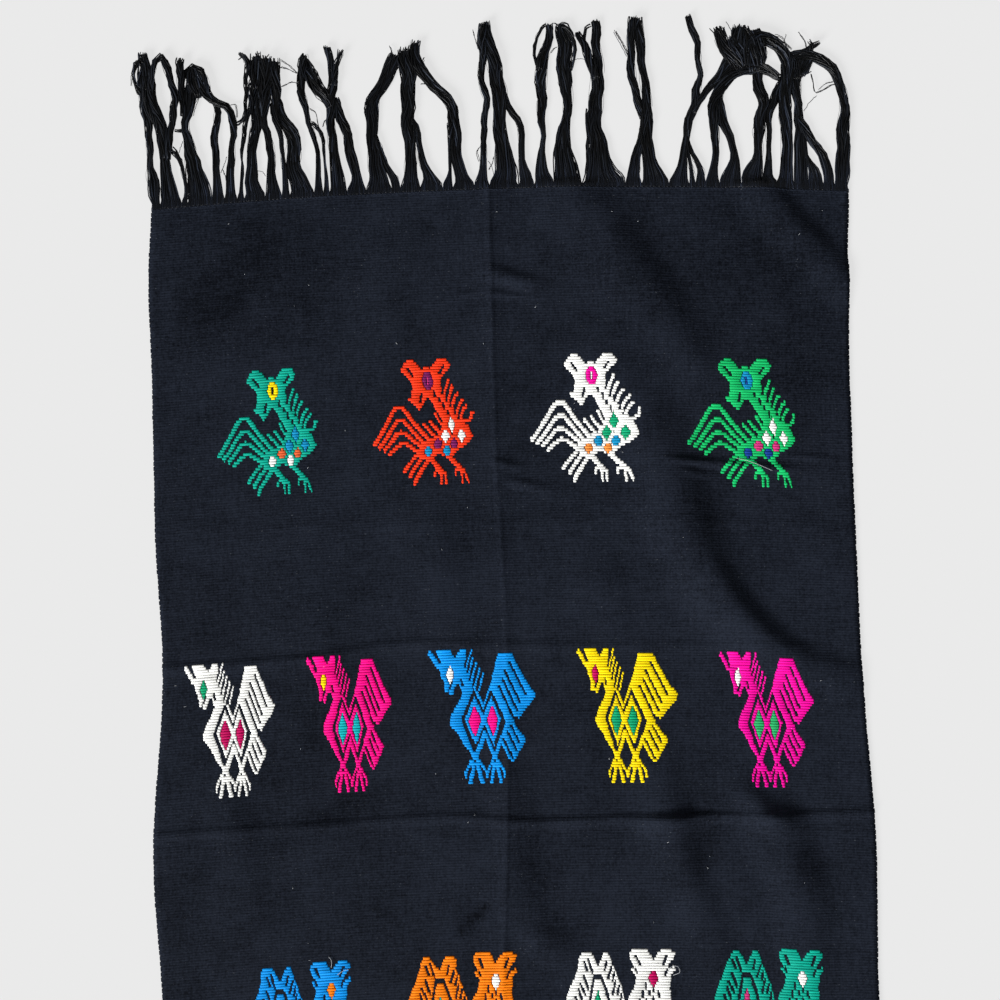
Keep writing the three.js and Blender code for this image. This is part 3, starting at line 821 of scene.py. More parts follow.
# ---- the figures that the head part shows, from its left; the later rows repeat them ----
# lean is how far a figure's top is pushed to the left
FIGURES = {
    "rooster": table(
        "left middle right lean from_head height body eye first second third slit",
        (-155.8, -113, -101, 2.3, 95.3, 68.8, "teal", "yellow", "sky", "rust", "white", "black"),
        (-71.4, -28.2, -16, 3, 94.6, 68.8, "vermilion", "purple", "white", "purple", "sky", "rose"),
        (14, 59.1, 74.2, 0, 94, 70, "white", "magenta", "fern", "sky", "apricot", "white"),
        (98.8, 146, 158.6, 3, 96.3, 69.6, "green", "sky", "white", "rose", "deep blue", "deep blue"),
    ),
    "bird": table(
        "left middle right lean from_head height body eye first second third slit",
        (-176.8, -149.2, -126.4, 0, 252, 73, "white", "fern", "crimson", "white", "white", "white"),
        (-111, -87, -63.8, 0, 252.3, 73.6, "pink", "yellow", "turquoise", "pink", "pink", "pink"),
        (-46.4, -15.2, 13.2, 0, 252.4, 72.8, "blue", "white", "pink", "blue", "blue", "blue"),
        (33.9, 59.6, 89.4, 0, 253.5, 73, "yellow", "crimson", "fern", "yellow", "yellow", "yellow"),
        (110.2, 135.6, 161.8, 0, 255.2, 72.4, "magenta", "white", "light green", "magenta", "magenta",
         "magenta"),
    ),
    "eared animal": table(
        "left middle right lean from_head height body eye first second third slit humps",
        (-142.6, -111, -88, 0, 412.8, 69, "blue", "orange", "white", "blue", "blue", "blue",
         ((7.6, 12.6), (20.4, 22.6))),
        (-59.6, -25, -0.2, 0, 412, 69, "orange", "white", "turquoise", "orange", "orange", "orange",
         ((9, 11.4), (19.6, 24))),
        (24, 57.2, 83, -0.6, 412, 69, "white", "crimson", "fern", "white", "white", "white",
         ((8.5, 13.5), (20, 22))),
        (102.4, 136.6, 161, 0, 410.8, 69, "teal", "white", "rose", "teal", "teal", "teal",
         ((10.6, 13.4), (20.4, 22.6))),
    ),
}
ROW_STEP = 159                      # from one row of figures to the next
ROWS = 9
COLOUR_COLUMNS = ("body", "eye", "first", "second", "third", "slit")


def figure_rows():
    """Every row of figures: the shown ones, then the same kinds again with their colours moved on."""
    kinds = list(FIGURES)
    for number in range(ROWS):
        kind = kinds[number % len(kinds)]
        lap = number // len(kinds)
        shown = FIGURES[kind]
        row = []
        for i, figure in enumerate(shown):
            colours = shown[(i + lap) % len(shown)]
            moved = dict(figure, from_head=figure["from_head"] + lap * len(kinds) * ROW_STEP)
            moved.update({column: colours[column] for column in COLOUR_COLUMNS if column in colours})
            row.append(moved)
        yield number + 1, kind, row


FLOAT_WIDTH = 1.68                  # more than a pick, so that neighbours lie against each other
FLOAT_HEIGHT = 0.4
FLOAT_SECTION = np.array([(-0.5, -0.3), (-0.4, 0.55), (0, 1), (0.4, 0.55), (0.5, -0.3)])
FLOAT_STATION = 6
FLOAT_END = 0.45                    # how full a float's ends are
CREASE = (-16, 6)                   # where the middle crease runs, across
CREASE_STATION = 1.6                # for floats that meet it
LEAN_FOOT = 45                      # a figure leans above this distance from its top


def chart_layers(kind, figure):
    """The chart of one figure."""
    if kind == "eared animal":
        return eared_animal(*figure["humps"])
    return rooster() if kind == "rooster" else bird()


def floats_of(figure, kind, rng):
    """Every float of one figure: left end, right end, distance from the head edge, colour."""
    chart = CHARTS[kind]
    columns = int(round((figure["right"] - figure["left"]) / WARP_PAIR))
    picks = int(round(figure["height"] / PICK))
    across = figure["left"] + (np.arange(columns) + 0.5) * WARP_PAIR
    x, y = np.meshgrid(across, (np.arange(picks) + 0.5) / picks)
    y = y * chart["height"]
    unleaned = x + figure["lean"] * np.clip(1 - y / LEAN_FOOT, 0, 1)
    x = np.interp(unleaned, [figure[place] for place in ("left", "middle", "right")],
                  [0, chart["middle"], chart["width"]], left=-1)
    yarn_at = np.full(x.shape, -1)
    names = list(YARNS)
    for part, covers in chart_layers(kind, figure):
        yarn_at[covers(x, y)] = -1 if part == "bare" else names.index(figure[part])
    shades = {name: linear(YARNS[name]) for name in names}
    for pick in range(picks):
        edges = np.flatnonzero(np.diff(np.concatenate([[-1], yarn_at[pick], [-1]])))
        for start, end in zip(edges, edges[1:]):
            yarn = yarn_at[pick, start]
            if yarn < 0:
                continue
            nudge = rng.normal(0, 0.08, 3)
            meets = [0.12 if 0 <= i < columns and yarn_at[pick, i] >= 0 else 0 for i in (start - 1, end)]
            yield (
                figure["left"] + start * WARP_PAIR + meets[0] + nudge[0],
                figure["left"] + end * WARP_PAIR - meets[1] + nudge[1],
                figure["from_head"] + (pick + 0.5) * PICK + nudge[2] * 0.5,
                shades[names[yarn]] * rng.uniform(0.9, 1.04),
            )


def make_figures(number, kind, row):
    """One row of figures: each float is its own low, closed, rounded bar lying on the cloth."""
    rng = np.random.default_rng(100 + number)
    places, colours, walls, caps, base = [], [], [], [], 0
    for figure in row:
        for x0, x1, from_head, colour in floats_of(figure, kind, rng):
            length = max(x1 - x0, 0.7)
            tuck = min(0.4, length / 3)
            station = CREASE_STATION if x0 < CREASE[1] and x1 > CREASE[0] else FLOAT_STATION
            inner = max(1, int(length // station))
            along_float = np.concatenate([[0], np.linspace(tuck, length - tuck, inner + 1), [length]])
            full = np.ones(len(along_float))
            full[[0, -1]] = FLOAT_END
            height = FLOAT_HEIGHT * rng.uniform(0.8, 1.2)
            section = FLOAT_SECTION * (FLOAT_WIDTH, height)
            x = np.repeat(x0 + along_float, len(section))
            down = from_head + (full[:, None] ** 0.5 * section[:, 0]).ravel()
            up = (full[:, None] * section[:, 1]).ravel()
            places.append(np.stack([x, down, up], axis=1))
            colours.append(np.broadcast_to(colour, (len(x), 3)))
            ring = base + np.arange(len(x)).reshape(-1, len(section))
            after = np.roll(ring, -1, axis=1)
            walls.append(np.stack([ring[:-1], after[:-1], after[1:], ring[1:]], axis=-1).reshape(-1, 4))
            caps.append(np.stack([ring[0, ::-1], ring[-1]]))
            base += len(x)
    points = on_cloth(*np.concatenate(places).T)
    faces = [np.concatenate(walls), np.concatenate(caps)]
    piece = new_piece(f"figures_row_{number}", points, faces, floss)
    paint(piece, np.concatenate(colours))
    return piece


# ---------------------------------------------------------------- the fringes
# end: cut ends fray at the tip, tucked ends lie inside another strand
# lift: how far the strand lies over those that it crosses
# bends: (reach past the head line, across, width)
STRANDS = table(
    "end lift bends",
    ("blunt", 0, ((0, -188.5, 7), (6, -188.6, 7.4), (14, -190, 4.8), (24, -190.8, 3.8), (34, -191, 4),
        (44, -192.3, 5), (54, -194, 5), (64, -194.2, 6), (72, -194, 6), (80.5, -193.2, 5))),
    ("tucked", .4, ((57, -196, 2), (62, -198.2, 1.6), (67, -199.3, 1.6), (72, -198.2, 2.4),
        (77, -196, 2.4), (73, -194, 3))),
    ("blunt", .8, ((0, -180, 11), (8, -181.2, 8), (20, -182.8, 6), (30, -182.8, 7), (38, -184.5, 7.6),
        (46, -187.6, 8), (54, -189.6, 8.4), (62, -190.6, 8.4), (70, -191.5, 5), (78, -192, 3))),
    ("tucked", 1.2, ((20, -181.6, 5), (30, -179.8, 5), (38, -178.5, 4), (46, -177, 4.6), (54, -176.2, 5),
        (62, -177.8, 4.6), (68, -179.6, 4.4), (74, -181.2, 4.6), (78, -183, 4.6), (75.5, -186, 4),
        (70, -188.4, 3.6), (64, -190, 3.6), (58, -190.6, 3.5))),
    ("tucked", 0, ((0, -170.8, 3), (10, -171.8, 2.4), (16, -173, 2.6), (21, -175.6, 2.6),
        (26, -179.2, 2.8))),
    ("tucked", .4, ((0, -164, 14), (8, -165, 12), (14, -166.6, 10), (20, -167.2, 9), (28, -169.2, 6),
        (36, -171, 4.2), (42, -170.6, 4.6), (48, -169.4, 6), (55, -168, 8), (62, -167.5, 8))),
    ("tucked", .2, ((36, -171.5, 1.2), (35.6, -174, 1.2), (36, -177, 1.2))),
    ("blunt", 1.2, ((44, -172.6, 2), (52, -172.5, 3), (60, -172.8, 4), (68, -173.3, 5),
        (76.5, -172.8, 4.6))),
    ("tucked", 0, ((0, -153.4, 6.5), (8, -154, 4.8), (20, -154.5, 4.4), (32, -154.8, 4.2),
        (40, -153.6, 3.6), (47, -153.4, 3.6), (53, -155.4, 3))),
    ("tucked", .8, ((0, -146.5, 6), (12, -146.6, 5), (20, -146, 4.4), (28, -145.2, 2.8),
        (34, -144.6, 3.8), (40, -144.4, 4.4), (45, -146, 4), (49.5, -150, 4), (52, -155, 4.6),
        (56, -159.6, 6), (63, -160.6, 6.6), (69.5, -163.6, 6), (69.5, -168.4, 6), (64, -171, 5))),
    ("tucked", 1.4, ((54, -165, 7), (60, -165.5, 9), (66, -166, 8), (70, -166.5, 4))),
    ("tucked", 0, ((0, -140.8, 3), (12, -140, 2.1), (22, -140, 1.9), (30, -139.3, 1.9), (37, -138, 2.4),
        (43, -136.3, 2.4), (50, -135.2, 2.2), (57, -134.2, 2.4), (63, -133.4, 3))),
    ("tucked", .4, ((38.4, -143.6, 1.4), (40, -139, 2), (45, -137.6, 1.8), (53, -137.8, 1.8),
        (60, -137.3, 2), (67, -136.8, 2), (72, -136.4, 3))),
    ("frayed", .4, ((58, -131, 5), (65, -133.5, 4), (71, -135.6, 3.8), (76, -137.6, 3), (79, -140.8, 2))),
    ("frayed", 0, ((0, -133.8, 10), (6, -135.2, 8.4), (14, -134.4, 6.6), (24, -134.2, 5.8),
        (32, -133.2, 6), (40, -131.4, 6.6), (50, -130.6, 8), (60, -129.6, 9.5), (70, -130, 9),
        (79, -131.4, 7))),
    ("frayed", .8, ((0, -122.6, 8), (9, -124, 5.6), (20, -124.2, 4.4), (28, -125, 4.2), (36, -127, 3.8),
        (44, -127.6, 5), (54, -126.4, 8), (64, -125.4, 9), (77, -124.6, 9))),
    ("frayed", .4, ((0, -116.6, 4), (8, -116.6, 3.6), (16, -117, 3), (24, -117.7, 3), (32, -119.2, 3),
        (40, -121, 4), (50, -121.2, 6), (62, -121, 6.5), (75, -120.6, 5.5))),
    ("tucked", 0, ((0, -107, 13), (6, -109, 10.6), (12, -111.4, 8.6), (17, -112.2, 8.6), (22, -111.6, 9),
        (26.5, -110.6, 9), (30, -112, 8.6), (36, -114.8, 7.4), (44, -118.6, 5.4), (52, -120.4, 4.6))),
    ("blunt", .6, ((0, -98.6, 4.6), (8, -98.3, 3.2), (20, -98.2, 3.3), (27, -100, 2.8), (33, -101.2, 2.8),
        (42, -104, 2.8), (50, -105.6, 4), (58, -107, 5), (66, -106.4, 6.2), (73, -105.2, 6),
        (77, -104, 3))),
    ("tucked", 1.2, ((74, -105, 4), (68, -103, 7.6), (62, -100, 8), (56, -96.6, 7.4), (51, -93.4, 6.4),
        (46, -91, 4))),
    ("tucked", 0, ((0, -93.8, 2.4), (14, -94.3, 2), (24, -95.1, 1.7), (31, -96.2, 1.5), (35, -98.5, 1.5),
        (39, -101.4, 1.5))),
    ("blunt", .4, ((0, -87.6, 8), (10, -88.2, 7.6), (22, -89.5, 5.6), (32, -90.5, 4.8), (42, -91, 5.2),
        (52, -90.3, 6.2), (60, -89.4, 5.4), (67, -89, 4.6), (72, -90.4, 3.6), (77, -92, 2.8),
        (81.5, -93, 2))),
    ("blunt", .6, ((66, -89.4, 2), (73, -89.6, 1.8), (80.5, -90.8, 1.4))),
    ("blunt", .8, ((58, -88.6, 3), (65, -87.7, 3), (71, -86.6, 2.8), (75, -85.2, 2.6), (79, -84.4, 2.6))),
    ("tucked", 0, ((0, -77.4, 8.6), (7, -77.2, 6.4), (14, -78.8, 6.4), (20, -80.1, 7), (26, -81, 6.4),
        (32, -82.2, 5.2), (38, -84.4, 5.6), (46, -86.8, 5.6), (52, -89, 5))),
    ("frayed", 0, ((0, -64, 14), (6, -65.2, 11.4), (12, -66.6, 9), (18, -67, 8), (24, -67.6, 7.4),
        (30, -68, 6.6), (38, -68.3, 7), (46, -68.3, 8.6), (52, -66.3, 7), (58, -62.6, 7.2),
        (64, -59.2, 7.6), (70, -56.4, 9), (77.5, -54.6, 8))),
    ("tucked", 0, ((0, -56.5, 5), (6, -57, 5), (11, -60, 3.6), (17, -62.4, 3.6), (23, -64.4, 3.6),
        (30, -66.4, 3))),
    ("frayed", .4, ((0, -48, 10), (8, -47.6, 7.8), (18, -47.3, 6.6), (28, -48.3, 7.6), (38, -48.7, 8.2),
        (46, -48.5, 8.6), (54, -47.8, 8.4), (62, -47.8, 9), (70, -48.6, 10), (79.5, -49, 8))),
    ("tucked", 0, ((0, -36.6, 10), (6, -37.2, 7.4), (12, -39.8, 5), (18, -41.5, 4.2), (26, -42.5, 3.6),
        (33, -43.8, 3.4), (42, -47.4, 3))),
    ("frayed", 1, ((0, -19, 10), (6, -19.6, 8), (12, -21, 7.4), (18, -22.3, 7), (28, -22.9, 7.4),
        (36, -22.8, 6.6), (44, -23.6, 6), (50, -27.4, 6), (56, -32.4, 6), (62, -37.8, 6.4), (68, -42, 8),
        (75, -43.6, 7.6), (83.5, -43, 5.6))),
    ("tucked", 0, ((0, -26.8, 4), (8, -26, 2.4), (16, -25.6, 2.6), (26, -25.4, 3), (36, -24.6, 3))),
    ("blunt", 0, ((0, -8.4, 6.6), (8, -7.8, 5), (18, -7.2, 4), (28, -7, 4), (36, -6.5, 3.8),
        (42, -5.2, 4), (47, -4.4, 4.4), (52, -5.7, 4.2), (58, -6.7, 3.8), (66, -7.2, 4.2),
        (74, -6.2, 4.6), (82, -6.4, 5.6), (92.3, -6.4, 4))),
    ("blunt", .8, ((0, 4.3, 16), (7, 4.8, 13.5), (16, 4, 11), (24, 3.2, 9.4), (32, 2.3, 7.6),
        (40, 1.8, 7), (46, 2, 8), (54, 2.4, 8.4), (60, 0.9, 8), (68, -0.2, 8.2), (76, -1.5, 8),
        (84, -3.4, 7.2), (92.5, -4.6, 5))),
    ("tucked", 0, ((0, 16, 9), (6, 15.3, 7.4), (12, 14, 4.4), (22, 14, 4), (30, 13.8, 3.4),
        (35, 12.6, 3.8), (40, 9.8, 4), (46, 7, 3.6), (53, 4.4, 3.6))),
    ("blunt", 0, ((0, 25, 11), (7, 24.2, 7.8), (16, 24.6, 5.2), (24, 25.4, 3.2), (29, 25.7, 2.8),
        (36, 25.3, 4.2), (44, 25.4, 5.4), (54, 25.6, 6.2), (62, 25.4, 6.4), (68, 26.5, 5.4),
        (74, 28.5, 5.2), (80, 30, 5), (86, 30.5, 5), (91, 30.8, 4.8))),
    ("tucked", .4, ((64, 24.6, 2.6), (70, 24.4, 2.6), (75, 26.2, 2), (78, 28.6, 2))),
    ("tucked", .6, ((66, 24, 1), (71, 22.4, 1.2), (77, 22.1, 1.2), (83, 24, 1.2), (88, 27.4, 1.2),
        (89.6, 29.6, 1.2))),
    ("blunt", 0, ((0, 38.2, 15), (7, 37.8, 14), (16, 36.8, 12), (24, 36.5, 9.8), (29, 37.2, 8.4),
        (34, 38.8, 5.6), (42, 39.5, 5), (50, 39.8, 5.6), (56, 38.6, 8), (64, 38, 9), (72, 38.6, 8),
        (80, 39, 8), (86, 37.6, 6.4), (90.5, 36.2, 4))),
    ("tucked", .4, ((64, 42, 1.2), (70, 43.6, 1.4), (77, 44.8, 1.6), (83, 43.8, 2), (88, 40.6, 2.4),
        (89, 37, 2.4))),
    ("blunt", 0, ((0, 57, 22), (6, 57, 18), (12, 56.4, 14), (20, 56, 12), (28, 55, 9.4), (36, 54.4, 8.2),
        (44, 55.2, 8.4), (52, 56.3, 8.4), (60, 56.8, 8), (66, 56.6, 7.4), (72, 56.7, 5.2), (80, 56.5, 5),
        (87, 56.8, 5.4), (92, 57.2, 4.4))),
    ("tucked", .2, ((6, 49, 1.4), (16, 50, 1), (26, 50.3, 1), (34, 50, 1.4), (42, 52, 3))),
    ("blunt", .8, ((58, 55.6, 5), (64, 54, 5.4), (70, 52.2, 5.4), (76, 50.2, 5), (81, 48.3, 4),
        (85.4, 46.8, 2.4))),
    ("tucked", 1, ((79, 50, 1.6), (84, 49.6, 1.2), (87, 51, 1.2), (88.6, 54, 1.4))),
    ("tucked", 0, ((0, 75.5, 7), (8, 75.4, 6.4), (16, 76.8, 6), (24, 79.6, 4.6), (32, 82, 3))),
    ("blunt", .3, ((0, 85.5, 13), (10, 84.3, 8.4), (24, 82.6, 9.2), (36, 82.7, 8), (45, 83.6, 6),
        (56, 82.6, 4.4), (68, 81.4, 4.4), (80, 80.6, 5.6), (93, 79.4, 7))),
    ("blunt", .9, ((36, 81.4, 5), (47, 78, 4.6), (58, 75.6, 4.5), (70, 75.4, 4.8), (82, 75.8, 4.6),
        (93, 78, 6))),
    ("blunt", .4, ((0, 100.5, 9), (7, 101.4, 6.4), (15, 102.8, 4.4), (22, 104.1, 4.2), (27, 104.6, 4.2),
        (32, 105.9, 4.8), (38, 108.2, 5), (46, 110.2, 4.4), (52, 111.3, 4.4), (58, 113, 3.2),
        (66, 112.7, 3.2), (72, 112.4, 3.6), (79, 112, 4), (84, 110.7, 4.2), (88, 109, 3.8),
        (93, 106.8, 3.6))),
    ("tucked", 0, ((0, 106.9, 3), (8, 106.2, 2.4), (16, 105.2, 2.4), (23, 104.8, 2.4), (29, 105.2, 2))),
    ("tucked", 0, ((0, 111.2, 5), (6, 111.5, 3.8), (11, 109.6, 3.2), (17, 106.7, 2.8), (24, 105.2, 2.4),
        (31, 105.8, 2))),
    ("frayed", .8, ((38, 108.4, 4), (43, 111, 4), (48, 115, 4.2), (53, 119.6, 5), (58, 124, 6.6),
        (64, 129, 8), (71, 133, 8.4), (79, 135.4, 8.4), (87, 136, 7.6))),
    ("tucked", .4, ((0, 118, 7), (7, 119, 5), (14, 120.3, 4.4), (22, 120.4, 4.2), (30, 119.8, 5),
        (38, 119.4, 5.4), (46, 121, 5.6), (52, 124.4, 6), (57.5, 129.6, 6.6), (62, 136, 6), (64, 142, 5),
        (63.4, 147, 3.6), (60.6, 152, 3), (56.8, 157.4, 3))),
    ("tucked", 0, ((0, 128, 12), (6, 129.6, 9), (12, 130.6, 5.8), (18, 130, 4.6), (24, 128, 5),
        (30, 125.8, 5.6), (36, 124, 6), (42, 122.9, 5.6), (50, 123.6, 6), (55, 127, 6.4), (59, 132, 6.4),
        (61.4, 138, 6), (61.2, 143, 4.4), (59.6, 148, 1.8), (57.6, 153, 1.6), (56, 158, 1.6))),
    ("frayed", 1.2, ((60, 138, 8), (67, 132.6, 8), (73, 128, 7.6), (79, 125.2, 7.4), (86, 123.6, 6.6))),
    ("frayed", 1.6, ((60, 143, 7), (68, 141.6, 8.6), (76, 140, 8.6), (86, 138.6, 6))),
    ("blunt", 1.4, ((61, 146.4, 2), (66, 146.6, 7), (72, 146, 9), (79, 145, 8.4), (83.6, 143.6, 6))),
    ("blunt", .8, ((60, 136.6, 2), (64.6, 137.6, 7), (69, 136, 9.6), (76, 133.6, 8.6), (81, 132, 6))),
    ("tucked", 0, ((0, 139.6, 13), (5, 141, 10), (10, 142.9, 6.6), (14, 143.6, 5.2), (22, 144, 5.6),
        (30, 144.7, 6.6), (36, 146.4, 6), (42, 148, 6.4), (50, 146.2, 7), (56, 145.4, 6),
        (63, 144.2, 7))),
    ("tucked", 0, ((0, 148.6, 6), (9, 149.2, 4.2), (20, 149.9, 3), (30, 150.2, 3), (38, 151.3, 4),
        (44, 153.6, 6), (50, 157.4, 6.4), (57, 160.6, 6.6), (64, 161.5, 6))),
    ("tucked", 1.6, ((0, 158.3, 8), (8, 159, 7.4), (20, 159.6, 6.6), (30, 159.6, 7), (38, 158.4, 8),
        (46, 159.2, 7), (54, 161, 6), (62, 161.4, 6.4), (69, 159.6, 7.4), (75, 155.8, 8),
        (78.6, 151, 7.8), (79.6, 146, 8), (76, 142, 7.4), (70, 140.6, 7))),
    ("tucked", .2, ((0, 166.5, 8), (8, 166.6, 8), (18, 166.8, 7.2), (26, 167, 6), (34, 167, 5),
        (42, 166.4, 4.6), (48, 165.9, 5.2), (56, 165, 7), (62, 165.4, 8), (67, 168, 8))),
    ("tucked", 0, ((0, 174.5, 8), (5, 173.4, 6), (10, 170.6, 2.6), (17, 169.6, 3), (25, 168.6, 3))),
    ("tucked", .3, ((0, 181.6, 6), (7, 180.6, 6), (12, 179, 6), (17, 176.2, 6), (22, 172.6, 5.6),
        (28, 168.6, 5.4), (35, 166.4, 4))),
    ("tucked", 1, ((0, 189, 8.6), (8, 189.6, 9), (16, 190.2, 8.4), (24, 190.6, 7.8), (30, 191.2, 6.6),
        (36, 192, 5), (44, 191.4, 4.8), (50, 190.6, 5), (55, 188.6, 5.4), (60, 186, 6), (64, 182.4, 6.4),
        (67.6, 178, 6.4), (69, 173, 6), (68.6, 168, 6), (67, 163, 6))),
    ("frayed", .6, ((69, 175, 6), (65, 171.6, 8), (61, 170, 7.6), (56, 169, 6))),
    ("tucked", .8, ((71, 160, 5), (66, 164, 6), (60, 166.6, 6), (55, 167, 5))),
    ("frayed", 1.8, ((69, 168, 4), (71, 172, 4), (73, 175.6, 3.4), (75, 180, 2.2))),
    ("frayed", 1.6, ((70, 174, 2), (73, 175, 2), (77, 173.6, 1.4))),
)
# single threads that stray from the strands: each bend is (reach, across)
STRAYS = table(
    "ends bends",
    (2, ((74, -118.6), (71.6, -115), (68.6, -111.6), (65, -108))),
    (3, ((70.4, -118.6), (69, -114), (67, -110))),
    (2, ((58.6, -118.6), (60, -115), (61.2, -112), (60.6, -109))),
    (2, ((46, -102.6), (44, -99.6), (39, -98.4), (35, -97.4), (32, -95.4))),
    (2, ((57, -100.6), (52, -98.6), (49, -94.6))),
    (2, ((36, -95.6), (39, -94.4), (40.4, -93))),
    (2, ((84, 43.6), (83.2, 46), (84.6, 47.4))),
    (1, ((69, 42.8), (69.8, 47), (69, 52))),
    (2, ((74, 31.6), (76, 33.4), (77.4, 35))),
    (3, ((90.4, 31.8), (91, 34), (90, 36))),
    (4, ((72, 74), (79, 70.6), (86, 67))),
    (3, ((58, 174.4), (53, 175.2), (47, 176.4), (48, 179.4), (50, 183), (51.8, 186.4), (51.4, 189))),
    (2, ((49, 178.6), (51.6, 182), (53, 186.6))),
    (1, ((46.6, 177.4), (43, 173.6), (38, 169.8))),
    (2, ((80.4, 155.4), (78.6, 159), (74.4, 161.8), (72, 164.6))),
    (2, ((77.6, 154.4), (76, 158.6), (73, 163))),
    (1, ((77, 160), (81, 161.4))),
    (2, ((72.4, 172.4), (76.4, 171.4), (79.6, 169.6), (82, 168.4))),
    (1, ((81, 132), (85, 130.6), (89, 128.8))),
    (2, ((56, 168), (57.6, 171), (60, 175))),
    (1, ((30, -172.6), (26, -174), (23.4, -174.8))),
    (2, ((54.4, -163), (49, -165), (44, -166.6))),
    (1, ((20, -148.4), (15, -150), (11, -151.8))),
    (2, ((14, -150.6), (10, -149), (6, -148.4))),
    (1, ((12, -132.6), (11, -129), (8.6, -127))),
    (2, ((49, -146), (49, -143.6), (46, -142.6), (42, -142.6))),
    (2, ((62, -200.6), (68, -200), (74, -197.4))),
    (2, ((22, -9.4), (20, -10.6), (16, -10.4), (14, -9.6))),
    (1, ((14, -5.4), (10, -3.4), (6, -2.4))),
    (2, ((9, -4), (13, -1.8), (16, -1.2))),
    (2, ((59, -40.6), (58.4, -37.6), (57.8, -35))),
    (2, ((88, -11), (83, -9.8), (78, -8.6))),
    (3, ((68, -40.4), (71, -39.6), (73.4, -38.6))),
    (2, ((80.4, -57.6), (77, -56.4), (74, -56))),
)
YARN_RADIUS = 0.4
ROPE_YARNS = 6                      # a strand's yarns wind in ropes of this many
YARN_SIDES = 3
BODY_SIDES = 10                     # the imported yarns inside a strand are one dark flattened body
ROPE_SQUASH = 0.8                   # a rope's height, of its width
TWIST_LENGTH = 34                   # of one turn of a rope
ROOT_INSIDE = 2.2                   # how far a yarn starts inside the cloth's edge
ROOT_BAND = 0.8                     # how far out the yarns still lie side by side
WARP_BLACK = (10, 12, 15)
ROOT_BLACK = (19, 23, 31)           # cleaner and bluer where a yarn leaves the cloth
FAN = (12, 38)                      # where the yarns of a strand draw together into ropes
FULL_TURN = 6.28                    # random turns and phases are drawn from 0 up to this
ROPE_FULLNESS = 0.68                # a rope's radius, of its share of the strand's width
LEAST_ROPE = 0.9                    # and at least this
LIFT_OVER = (0.05, 0.35)            # the part of a strand's length over which it rises to its lift
# painted shade: the inner body is coloured darker than the yarns outside, for the shade it lies in
BODY_PAINTED_SHADE = 0.4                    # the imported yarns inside, of the yarns outside


def eased(t, start, end):
    """0 before start, 1 after end, and smooth between."""
    s = np.clip((t - start) / (end - start), 0, 1)
    return s * s * (3 - 2 * s)


def with_roots(strands):
    """Gives each strand that leaves the cloth its share of the edge, so that the roots fill it."""
    rooted = sorted((s for s in strands if s["bends"][0][0] == 0), key=lambda s: s["bends"][0][1])
    firsts = [strand["bends"][0] for strand in rooted]
    edges = [(across - width / 2, across + width / 2) for _, across, width in firsts]
    cuts = [(a[1] + b[0]) / 2 for a, b in zip(edges, edges[1:])]
    cuts = [selvedge(-1, 0) + 0.3] + cuts + [selvedge(1, 0) - 0.3]
    for strand, left, right in zip(rooted, cuts, cuts[1:]):
        middle, span = float(left + right) / 2, float(right - left)
        edge = float(bow(middle))
        kept = [bend for bend in strand["bends"] if bend[0] > edge + ROOT_BAND + 2]
        strand["root"] = (middle, span)
        strand["bends"] = [(edge - ROOT_INSIDE, middle, span), (edge + ROOT_BAND, middle, span), *kept]
    return strands


ROOT_STATIONS = (0, 1.2, 2.4, 4, 6, 8.6, 12)
TIP_STATIONS = (3.2, 1.7, 0.6, 0)   # short of the strand's end


def stations(length, rooted, step):
    """Distances along a strand: close together at its root and at its tip."""
    start = ROOT_STATIONS if rooted else (0, 2)
    end = length - TIP_STATIONS[0]
    middle = np.linspace(start[-1], end, max(2, int((end - start[-1]) / step) + 1))[1:]
    return np.concatenate([start, middle, [length - short for short in TIP_STATIONS[1:]]])


END_KINDS = {
    "blunt": {"shorter": 0.03, "fray": 0.4, "hooks": (0, 0, 0.8, 1.6), "body": 1},
    "frayed": {"shorter": 0.08, "fray": 0.8, "hooks": (0, 0, 1.2, 2.6), "body": 2.2},
    "tucked": {"shorter": 0.03, "fray": 0.1, "hooks": (0, 0), "body": 1},
}


